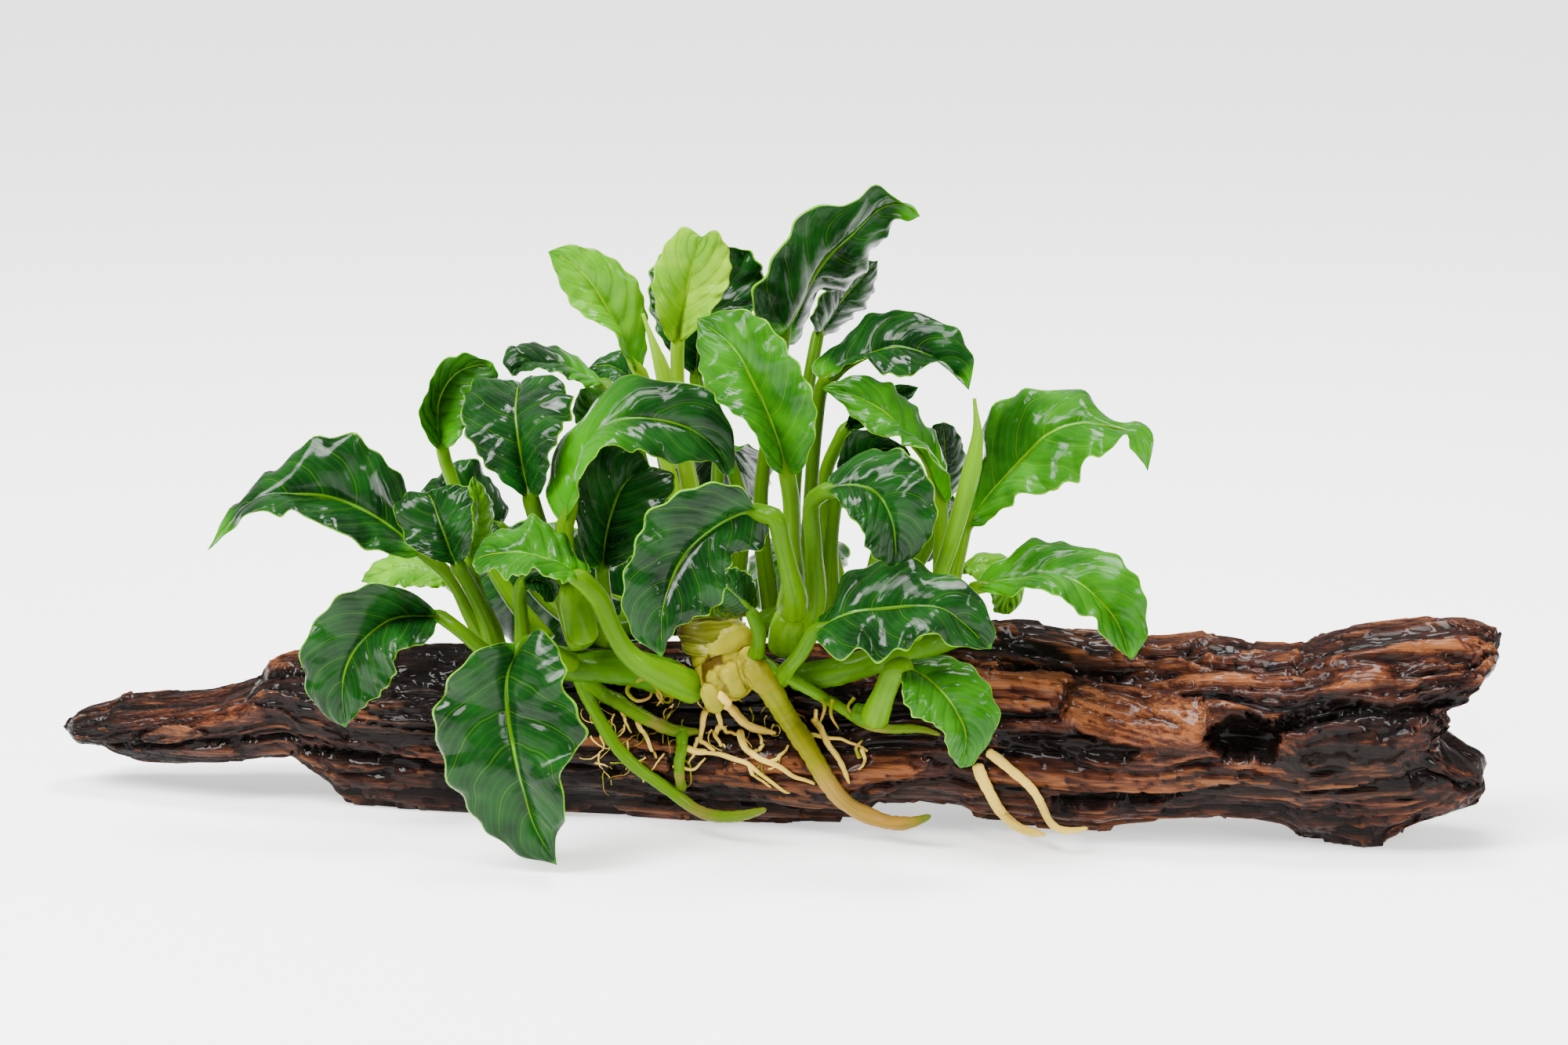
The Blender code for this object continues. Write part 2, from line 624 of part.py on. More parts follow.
def blade_lines(leaf, rows, nearer):
    """A blade's rib and its two margins, each as points from base to tip."""
    shift = Vector((0.0, 0.0, -nearer))
    rib = evenly(smooth_through([to_millimetres(place) for place in leaf.rib]), rows)
    margins = []
    for margin, lean in ((leaf.left, leaf.lean[0]), (leaf.right, leaf.lean[1])):
        ends = (leaf.rib[0][:2], leaf.rib[-1][:2])
        places = [to_millimetres(place) for place in (ends[0], *margin, ends[1])]
        line = evenly(smooth_through(places), rows)
        for row, place in enumerate(line):
            seen_width = (place.xy - rib[row].xy).length
            real_width = leaf.half_width * blade_fullness(row / (rows - 1))
            hidden = math.sqrt(max(real_width ** 2 - seen_width ** 2, 0.0))
            place.z = rib[row].z + lean * hidden
        for row in range(1, rows - 1):
            line[row].z = (line[row - 1].z + 2 * line[row].z + line[row + 1].z) / 4
        margins.append(line)
    lines = (margins[0], rib, margins[1])
    return [[to_point(place + shift) for place in line] for line in lines]


def blade_rings(leaf, rows, nearer, spare):
    """Rings of six points around a blade: margin, three on top, margin, one below."""
    left, rib, right = blade_lines(leaf, rows, nearer)
    to_eye = (seen((1000, 666, -300)) - seen((1000, 666, 0))).normalized()
    sides = []
    for row in range(rows):
        near = min(max(row, 1), rows - 2)
        sides.append((right[near] - left[near]).normalized())
    alongs = [rib[min(row + 1, rows - 1)] - rib[max(row - 1, 0)] for row in range(rows)]
    tops = [side.cross(along).normalized() for side, along in zip(sides, alongs)]
    boldest = max(tops, key=lambda top: abs(top.dot(to_eye)))
    if boldest.dot(to_eye) * leaf.faces < 0:
        left, right = right, left
        sides = [-side for side in sides]
        tops = [-top for top in tops]
    rings = []
    for row in range(rows):
        edge_left, edge_right = left[row], right[row]
        if row == 0:
            edge_left = rib[0] - sides[0] * STALK_RADIUS
            edge_right = rib[0] + sides[0] * STALK_RADIUS
        if row == rows - 1:
            edge_left = rib[-1] - sides[-1] * TIP_HALF_WIDTH
            edge_right = rib[-1] + sides[-1] * TIP_HALF_WIDTH
        top = tops[row]
        thick = RIB_HALF_THICKNESS + spare
        ring = [edge_left - sides[row] * spare]
        for edge in (edge_left, None, edge_right):
            if edge is None:
                ring.append(rib[row] + top * thick)
                continue
            crown = BLADE_CROWN * (edge - rib[row]).length
            ring.append((edge + rib[row]) / 2 + top * (crown + EDGE_HALF_THICKNESS + spare))
        ring.append(edge_right + sides[row] * spare)
        ring.append(rib[row] - top * thick)
        rings.append(ring)
    return rings, sides[0], tops[0]


def stalk_line(leaf, nearer, bow):
    """A stalk's middle line from its foot to the blade, with the blade brought nearer."""
    places = [to_millimetres(place) for place in (*leaf.stalk, leaf.rib[0])]
    line = smooth_through(places)
    last = len(line) - 1
    for index, place in enumerate(line):
        part = index / last
        place.z -= nearer * part
        place.z -= bow * math.sin(math.pi * part)
    return [to_point(place) for place in line]


def clear_distance(point, trees):
    """How far outside the nearest of some surfaces a point is, negative when inside."""
    least = 1.0
    for tree in trees:
        place, normal, _, distance = tree.find_nearest(point)
        inside = distance < DEEPEST_INSIDE and (point - place).dot(normal) < 0
        least = min(least, -distance if inside else distance)
    return least


def trimmed(line, radius, trees):
    """The part of a line that comes after it has left some surfaces."""
    start = 0
    for index, point in enumerate(line[:-2]):
        if clear_distance(point, trees) < radius + STALK_CLEARANCE:
            start = index + 1
    return line[start:]


def leaf_rings(leaf, nearer, bow, spare, stems):
    """All the rings of a leaf, from the foot of its stalk to the tip of its blade."""
    rows = SMALL_BLADE_ROWS if leaf.half_width < SMALL_HALF_WIDTH else BLADE_ROWS
    blade, side, top = blade_rings(leaf, rows, nearer, spare)
    line = trimmed(stalk_line(leaf, nearer, bow), FOOT_RADIUS, stems)
    line = evenly(line, STALK_ROWS + 1)
    rings = []
    for row in range(STALK_ROWS):
        along = (line[row + 1] - line[max(row - 1, 0)]).normalized()
        across = (side - along * side.dot(along)).normalized()
        above = across.cross(along)
        if above.dot(top) < 0 and row == STALK_ROWS - 1:
            above = -above
        part = row / STALK_ROWS
        radius = FOOT_RADIUS + (STALK_RADIUS - FOOT_RADIUS) * min(2 * part, 1.0) + spare
        ring = []
        for angle in STALK_RING:
            turn = math.radians(angle)
            offset = across * math.cos(turn) + above * math.sin(turn)
            ring.append(line[row] + offset * radius)
        rings.append(ring)
    return rings + blade


def loft(rings):
    """A closed mesh through rings of equal count, with flat ends."""
    work = bmesh.new()
    rows = [[work.verts.new(point) for point in ring] for ring in rings]
    for low, high in zip(rows, rows[1:]):
        for index, corner in enumerate(low):
            after = (index + 1) % len(low)
            work.faces.new((corner, low[after], high[after], high[index]))
    work.faces.new(rows[0][::-1])
    work.faces.new(rows[-1])
    bmesh.ops.triangulate(work, faces=work.faces[:])
    bmesh.ops.recalc_face_normals(work, faces=work.faces[:])
    return work


def tree_of(work):
    """A search tree over a bmesh's faces."""
    work.normal_update()
    return BVHTree.FromBMesh(work)


def new_material(name, colour, roughness):
    """A plain material with a colour and a roughness."""
    material = bpy.data.materials.new(name)
    material.use_nodes = True
    shader = material.node_tree.nodes["Principled BSDF"]
    shader.inputs["Base Color"].default_value = (*colour, 1.0)
    shader.inputs["Roughness"].default_value = roughness
    return material


def add_mesh(name, work, shade, collection):
    """A mesh object from a bmesh, in a collection, with a material of its own."""
    mesh = bpy.data.meshes.new(name)
    work.to_mesh(mesh)
    mesh.shade_smooth()
    mesh.set_sharp_from_angle(angle=SHARP_ANGLE)
    piece = bpy.data.objects.new(name, mesh)
    roughness = WOOD_ROUGHNESS if shade == "wood" else LEAF_ROUGHNESS
    mesh.materials.append(new_material(name, COLOURS[shade], roughness))
    collection.objects.link(piece)
    return piece


def wood_stations():
    """The wood's place along, bottom and top, and its front and back, at each outline row."""
    heights = []
    depths = []
    for across, top, bottom, front, back in WOOD_OUTLINE:
        middle = (front + back) / 2
        high = seen((across, top, middle + TOP_EDGE_BACK))
        low = seen((across, bottom, middle - BOTTOM_EDGE_FRONT))
        x = (high.x + low.x) / 2
        heights.append(Vector((x, low.z, high.z)))
        depths.append(Vector((x, front * MM, back * MM)))
    return heights, depths


def wood_rings():
    """Rings around the wood, from its left tip to its torn right end."""
    rng = random.Random(WOOD_SEED)
    phases = [rng.uniform(0, 2 * math.pi) for _ in RIDGES]
    heights, depths = wood_stations()
    heights = evenly(smooth_through(heights), WOOD_ROWS)
    depths = smooth_through(depths)
    end_low, end_high = heights[-1].y, heights[-1].z
    feet = [(seen((a, FOOT_LINE, 0)).x, seen((b, FOOT_LINE, 0)).x) for a, b in WOOD_FEET]
    rings = []
    for row, (x, low, high) in enumerate(heights):
        front, back = min(depths, key=lambda place: abs(place.x - x))[1:]
        on_foot = any(start < x < end for start, end in feet)
        low = 0.0 if on_foot else max(low, LEAST_LIFT)
        middle = Vector((x, (front + back) / 2, (low + high) / 2))
        torn = smooth_step(WOOD_ROWS - 1 - TORN_ROWS, WOOD_ROWS - 1, row)
        ring = []
        for index in range(WOOD_SIDES):
            turn = 2 * math.pi * index / WOOD_SIDES
            reach = 1.0 + rng.uniform(-ROUGHNESS, ROUGHNESS)
            for (height, count, wind), phase in zip(RIDGES, phases):
                reach += height * math.sin(count * turn + phase + wind * x)
            point = middle + Vector((
                0.0,
                math.cos(turn) * reach * (back - front) / 2,
                math.sin(turn) * reach * (high - low) / 2,
            ))
            part_up = (point.z - end_low) / (end_high - end_low)
            point.x += torn * value_along(END_REACH, part_up) * MM / UNITS_PER_MM
            if on_foot and point.z < FOOT_HEIGHT:
                point.z = 0.0
            point.z = max(point.z, 0.0)
            ring.append(point)
        rings.append(ring)
    return rings


def build_wood(collection, cutters):
    """The branch, with its knot hole cut in the front."""
    work = loft(wood_rings())
    hole = bmesh.new()
    bmesh.ops.create_uvsphere(
        hole, u_segments=KNOT_SEGMENTS, v_segments=KNOT_RINGS, radius=0.5
    )
    bmesh.ops.scale(hole, vec=KNOT_SIZE, verts=hole.verts)
    bmesh.ops.rotate(hole, matrix=Matrix.Rotation(KNOT_TILT, 3, "Y"), verts=hole.verts)
    place, _, _, _ = on_surface(tree_of(work), *KNOT_PLACE)
    bmesh.ops.translate(hole, vec=place, verts=hole.verts)
    mesh = bpy.data.meshes.new("knot_hole_cutter")
    hole.to_mesh(mesh)
    hole.free()
    cutter = bpy.data.objects.new("knot_hole_cutter", mesh)
    cutter.hide_render = True
    cutter.display_type = "WIRE"
    cutters.objects.link(cutter)
    wood = add_mesh("driftwood_log", work, "wood", collection)
    cut = wood.modifiers.new("knot_hole", "BOOLEAN")
    cut.operation = "DIFFERENCE"
    cut.object = cutter
    tree = tree_of(work)
    work.free()
    return tree


def add_tube(name, line, radii, shade, collection):
    """A round tube along a line, with its own search tree."""
    curve = bpy.data.curves.new(name, "CURVE")
    curve.dimensions = "3D"
    curve.bevel_depth = 1.0
    curve.bevel_resolution = 1
    curve.use_fill_caps = True
    spline = curve.splines.new("POLY")
    spline.points.add(len(line) - 1)
    for point, place, radius in zip(spline.points, line, radii):
        point.co = (*place, 1.0)
        point.radius = radius
    curve.materials.append(new_material(name, COLOURS[shade], STEM_ROUGHNESS))
    tube = bpy.data.objects.new(name, curve)
    collection.objects.link(tube)
    bpy.context.view_layer.update()
    solid = bmesh.new()
    evaluated = tube.evaluated_get(bpy.context.evaluated_depsgraph_get())
    mesh = bpy.data.meshes.new_from_object(evaluated)
    solid.from_mesh(mesh)
    bpy.data.meshes.remove(mesh)
    bmesh.ops.remove_doubles(solid, verts=solid.verts, dist=1e-6)
    bmesh.ops.recalc_face_normals(solid, faces=solid.faces[:])
    tree = tree_of(solid)
    solid.free()
    return tree


def pushed_clear(point, radius, trees):
    """A point moved out until a ball of a radius around it is clear of some surfaces."""
    for _ in range(PUSH_TRIES):
        moved = False
        for tree in trees:
            place, normal, _, distance = tree.find_nearest(point)
            outside = distance > DEEPEST_INSIDE or (point - place).dot(normal) > 0
            if outside and distance >= radius:
                continue
            away = (point - place).normalized() if outside and distance > 1e-6 else normal
            point = place + away * (radius + PUSH_STEP)
            moved = True
        if not moved:
            break
    return point


def tube_line(places, radii_mm, trees):
    """A stem's line and radii, pushed clear of what it lies on."""
    line = evenly(smooth_through([seen(place) for place in places]), 2 * len(places) + 1)
    given = smooth_through([Vector((radius, 0.0)) for radius in radii_mm])
    radii = [place.x * MM for place in evenly_indexed(given, len(line))]
    line = [
        pushed_clear(point, radius + STEM_CLEARANCE, trees) for point, radius in zip(line, radii)
    ]
    return line, radii


def evenly_indexed(values, count):
    """The given number of values, taken at equal steps of a list."""
    last = len(values) - 1
    return [values[round(last * index / (count - 1))] for index in range(count)]


def build_stems(wood, collection):
    """The creeping stem's pieces, and the old stalk sheath."""
    stems = []
    for name, (radii_mm, places) in RHIZOMES.items():
        shade = "crown" if name == "rhizome_crown" else "rhizome"
        line, radii = tube_line(places, radii_mm, [wood] + stems)
        stems.append(add_tube(name, line, radii, shade, collection))
    line, radii = tube_line(SHEATH, SHEATH_RADII, [wood] + stems)
    sheath = add_tube("sheath_left", line, radii, "rhizome", collection)
    return stems, sheath


def build_roots(wood, obstacles, collection):
    """The roots, which lie on the wood and pass over each other."""
    roots = []
    for name, ((thick, thin), on_wood, free) in ROOTS.items():
        places = evenly(smooth_through([Vector(place) for place in on_wood]), 3 * len(on_wood))
        line = []
        for place in places:
            point, normal, _, _ = on_surface(wood, place.x, place.y)
            line.append(point + normal * (thick * MM + GAP))
        ends = [seen(place) for place in free]
        line = smooth_through(line + ends, 3)
        line = evenly(line, 2 * (len(on_wood) + len(free)) + 2)
        last = len(line) - 1
        radii = [(thick + (thin - thick) * index / last) * MM for index in range(last + 1)]
        around = [wood] + obstacles + roots
        line = [
            pushed_clear(point, radius + ROOT_CLEARANCE, around) for point, radius in zip(line, radii)
        ]
        for index, (point, radius) in enumerate(zip(line, radii)):
            line[index] = Vector((point.x, point.y, max(point.z, radius + GAP)))
        roots.append(add_tube(name, line, radii, "root", collection))
    return roots


def room_choices():
    """Ways to move a leaf in depth and bow its stalk, the least change first."""
    choices = [(nearer, bow) for nearer in NEARER_CHOICES for bow in BOW_CHOICES]
    return sorted(
        choices, key=lambda choice: (abs(choice[0]) + BOW_COST * abs(choice[1]), choice)
    )


def build_leaves(stems, obstacles, collection):
    """Every leaf, moved in depth as little as makes it clear of those before it."""
    taken = list(obstacles)
    for name, leaf in LEAVES.items():
        for nearer, bow in room_choices():
            test = loft(leaf_rings(leaf, nearer, bow, GAP, stems))
            tree = tree_of(test)
            low = min(vertex.co.z for vertex in test.verts)
            test.free()
            if low > 0 and not any(tree.overlap(other) for other in taken):
                break
        else:
            nearer, bow = 0, 0
        work = loft(leaf_rings(leaf, nearer, bow, 0.0, stems))
        taken.append(tree_of(work))
        add_mesh(name, work, leaf.shade, collection)
        work.free()
    return taken


def build_spears(stems, obstacles, collection):
    """The rolled young leaves."""
    for name, places in SPEARS.items():
        for nearer, _ in room_choices():
            line = smooth_through([to_millimetres(place) for place in places])
            last = len(line) - 1
            for index, place in enumerate(line):
                place.z -= nearer * min(3 * index / last, 1.0)
            line = trimmed([to_point(place) for place in line], FOOT_RADIUS, stems)
            line = evenly(line, SPEAR_ROWS)
            given = smooth_through([Vector((radius, 0.0)) for radius in SPEAR_RADII])
            radii = [place.x * MM for place in evenly_indexed(given, len(line))]
            tree = add_tube(name, line, [radius + GAP for radius in radii], "young", collection)
            bpy.data.objects.remove(bpy.data.objects[name])
            if not any(tree.overlap(other) for other in obstacles):
                break
        obstacles.append(add_tube(name, line, radii, "young", collection))


def build():
    """The whole plant on its wood."""
    for old in list(bpy.data.objects):
        bpy.data.objects.remove(old)
    collection = bpy.data.collections.new("dwarf_anubias_on_driftwood")
    cutters = bpy.data.collections.new("cutters")
    bpy.context.scene.collection.children.link(collection)
    bpy.context.scene.collection.children.link(cutters)
    wood = build_wood(collection, cutters)
    stems, sheath = build_stems(wood, collection)
    roots = build_roots(wood, stems + [sheath], collection)
    taken = build_leaves(stems, [wood, sheath] + roots + stems, collection)
    build_spears(stems, taken, collection)


build()
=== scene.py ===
"""The looks of a dwarf anubias grown on driftwood.

Lengths are metres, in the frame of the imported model: +X along the wood to the right, +Y
away from the front, +Z up. Places on the plant are given as the front view shows them:
picture units across and down, six to the millimetre, and a depth in millimetres along +Y.
"""

import logging
import math
import random
from dataclasses import dataclass, field
from enum import Enum
from functools import partial
from typing import Callable, Sequence

import bmesh
import bpy
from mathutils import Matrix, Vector, noise
from mathutils.bvhtree import BVHTree


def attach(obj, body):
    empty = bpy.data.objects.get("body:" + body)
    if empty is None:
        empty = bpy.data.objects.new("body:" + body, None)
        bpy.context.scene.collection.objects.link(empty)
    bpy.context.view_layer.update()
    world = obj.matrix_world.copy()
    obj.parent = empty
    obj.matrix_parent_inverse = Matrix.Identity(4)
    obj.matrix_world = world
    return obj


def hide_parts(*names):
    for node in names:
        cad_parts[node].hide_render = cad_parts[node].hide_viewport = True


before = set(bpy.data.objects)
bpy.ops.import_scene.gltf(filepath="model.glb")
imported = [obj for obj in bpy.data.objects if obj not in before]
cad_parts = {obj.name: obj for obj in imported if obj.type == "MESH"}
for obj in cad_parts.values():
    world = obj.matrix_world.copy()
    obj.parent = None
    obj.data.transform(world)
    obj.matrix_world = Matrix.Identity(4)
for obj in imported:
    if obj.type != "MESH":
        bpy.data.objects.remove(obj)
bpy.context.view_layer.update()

LOG = logging.getLogger("anubias")
MM = 0.001
BODY = "root"
UV_NAME = "skin"
HOLLOW_NAME = "hollow"
CHAR_AND_SHADE_NAME = "char"
GRAIN_NAME = "grain_shift"
PALE_NAME = "pale"
UNITS_PER_MM = 6.0
WELD = 1e-6
DEEPEST_INSIDE = 9 * MM
CLEARANCE = 0.02 * MM
PUSHES = 12
NEAR_DEPTH = -300.0
NEARER_TRIED = range(-14, 15)
BOWS_TRIED = range(-8, 9)
PLANT_SEED = 5
SMOOTH = {"interpolation_type": "SMOOTHSTEP"}

Place = Sequence[float]
Corner = tuple[float, float]
Inputs = dict[int | str, object]


class Shade(Enum):
    """How old a leaf is, by its green."""

    DARK = "dark"
    MIDDLE = "middle"
    BRIGHT = "bright"
    YOUNG = "young"


class Rind(Enum):
    """What a rind that isn't a stalk's covers."""

    RHIZOME = "rhizome"
    SCARRED = "scarred"
    CROWN = "crown"
    HUSK = "husk"
    ROOT = "root"
    GREEN_ROOT = "green_root"
    OLD_ROOT = "old_root"


# The wood from left to right: across, top and bottom in the view, then the depths of its
# front and back in millimetres
WOOD_OUTLINE = (
    (90, 914, 937, -3, 5),
    (104, 904, 950, -6, 9),
    (140, 896, 957, -8, 11),
    (160, 886, 968, -9, 12),
    (207, 882, 973, -10, 14),
    (270, 876, 974, -12, 15),
    (325, 858, 971, -13, 17),
    (352, 838, 968, -14, 18),
    (385, 829, 970, -14, 18),
    (412, 828, 990, -15, 19),
    (450, 826, 1006, -15, 19),
    (511, 824, 1014, -16, 19),
    (596, 822, 1015, -16, 20),
    (700, 822, 1021, -16, 20),
    (815, 824, 1023, -16, 20),
    (914, 824, 1028, -17, 20),
    (1025, 822, 1030, -17, 20),
    (1102, 820, 1031, -17, 20),
    (1197, 808, 1034, -16, 21),
    (1268, 803, 1046, -16, 21),
    (1318, 808, 1052, -16, 21),
    (1383, 821, 1057, -16, 20),
    (1470, 825, 1053, -16, 20),
    (1544, 814, 1053, -17, 20),
    (1609, 822, 1056, -17, 20),
    (1655, 820, 1060, -18, 20),
    (1680, 812, 1070, -18, 21),
    (1726, 801, 1074, -18, 21),
    (1790, 792, 1068, -17, 21),
    (1845, 784, 1056, -15, 20),
    (1880, 794, 1030, -12, 17),
)
# The stretches of the underside that rest on the ground
WOOD_FEET = ((440, 1110), (1240, 1420), (1650, 1800))

# How far the torn right end reaches past the last place, from its bottom to its top
END_REACH = (-60, -16, 8, 20, 16, -22, -42, -40, -30, -34, -12, 14, 22, 26, 18, -6)

# The creeping stem: radii in millimetres, then places in the view
RHIZOMES = {
    "rhizome_crown": (
        (7.6, 8.4, 6.6),
        ((893, 862, -15), (918, 842, -16), (948, 822, -14)),
    ),
    "rhizome_left": (
        (2.6, 3.2, 3.6, 3.5, 4.1, 4.3),
        ((620, 838, -7), (690, 842, -12), (748, 850, -17), (806, 852, -18), (850, 864, -18),
         (884, 876, -19)),
    ),
    "rhizome_right": (
        (3.4, 3.0, 2.8, 2.8, 2.4),
        ((1004, 868, -18), (1060, 858, -18), (1117, 843, -17), (1178, 824, -13), (1236, 808, -8)),
    ),
    "rhizome_centre_branch": (
        (3.6, 3.8, 3.4),
        ((1000, 832, -15), (1004, 806, -17), (1010, 782, -19)),
    ),
    "rhizome_back_left": (
        (3.4, 3.4, 3.2, 2.6),
        ((925, 800, -3), (890, 792, 4), (840, 794, 8), (760, 806, 9)),
    ),
    "rhizome_back_right": (
        (3.2, 3.2, 3.0, 2.6),
        ((965, 800, -3), (1000, 790, 4), (1050, 788, 8), (1120, 786, 9)),
    ),
    "rhizome_offshoot": (
        (2.0, 2.4, 2.0),
        ((1086, 906, -22), (1110, 914, -22), (1134, 918, -22)),
    ),
}

# Roots: radii in millimetres at the two ends, then the places in the view where each lies
# on the wood; a root's tip may leave the wood, and then has a depth
ROOTS = {
    "root_main": (
        (2.8, 1.4),
        ((1006, 906), (1026, 951), (1049, 986), (1074, 1015)),
        ((1098, 1038, -15), (1132, 1050, -19), (1162, 1058, -22), (1188, 1040, -24)),
    ),
    "root_long_left": (
        (1.6, 1.2),
        ((750, 888), (772, 936), (806, 973), (850, 996), (872, 1010)),
        ((892, 1040, -20), (938, 1044, -24), (978, 1032, -29)),
    ),
    "root_left": ((1.9, 1.3), ((766, 884), (811, 910), (858, 932), (892, 942)), ()),
    "root_joining": ((1.3, 1.1), ((872, 938), (868, 960), (868, 985), (873, 1008)), ()),
    "root_tan": ((1.4, 0.8), ((926, 896), (949, 920), (990, 942)), ()),
    "root_green": (
        (1.4, 0.9),
        ((1068, 897), (1090, 916), (1114, 932), (1146, 930), (1178, 924), (1201, 932)),
        (),
    ),
    "root_right_near": (
        (1.35, 0.9),
        ((1245, 972), (1262, 1008), (1280, 1036)),
        ((1300, 1057, -17), (1334, 1065, -21)),
    ),
    "root_right_far": (
        (1.15, 0.7),
        ((1258, 955), (1287, 980), (1316, 1002), (1330, 1024)),
        ((1336, 1044, -19), (1350, 1062, -22), (1388, 1056, -20)),
    ),
    "root_thin": ((0.8, 0.5), ((1040, 916), (1054, 946), (1072, 972), (1084, 1000)), ()),
}

# Where roots start above the wood, on the crown or a stem
ROOT_HEADS = {
    "root_main": ((950, 834, -20.0), (962, 850, -23.0), (974, 867, -24.5), (988, 885, -23.5)),
    "root_green": ((966, 840, -21), (984, 851, -23), (1012, 868, -24.5), (1040, 884, -24)),
    "root_tan": ((914, 884, -24), (926, 893, -23)),
    "root_left": ((744, 862, -18),),
    "root_long_left": ((736, 858, -18),),
}

# The roots that are tan all along
TAN_ROOTS = ("root_tan", "root_right_near", "root_right_far", "root_thin")

# The thick upright base beside the left arm: places in the view, and radii in millimetres
SHEATH = ((745, 819, -25), (739, 788, -26), (728, 742, -26))
SHEATH_RADII = (3.5, 3.4, 3.0)


@dataclass(frozen=True)
class Leaf:
    """One leaf as the front view shows it.

    stalk and rib are places with depths, from the foot to the blade's base and on to its
    tip. left and right are the margins between base and tip. half_width is the blade's real
    half width in millimetres: what the view foreshortens goes into depth, towards the viewer
    where lean is -1 and away where it is 1. faces is -1 where the underside is seen. stalk_mm
    and foot_mm are the radii of the stalk and its foot. pale is how far bright young tissue
    reaches from the base and from the tip, as parts of the length. look is a darker age whose
    blade finish it takes instead of its own, as painted shade.
    """

    shade: Shade
    half_width: float
    lean: tuple[int, int]
    stalk: tuple[Place, ...]
    rib: tuple[Place, ...]
    left: tuple[Corner, ...]
    right: tuple[Corner, ...]
    faces: int = 1
    stalk_mm: float = 1.5
    foot_mm: float = 2.1
    pale: Corner = (0.05, 0.02)
    look: Shade | None = None


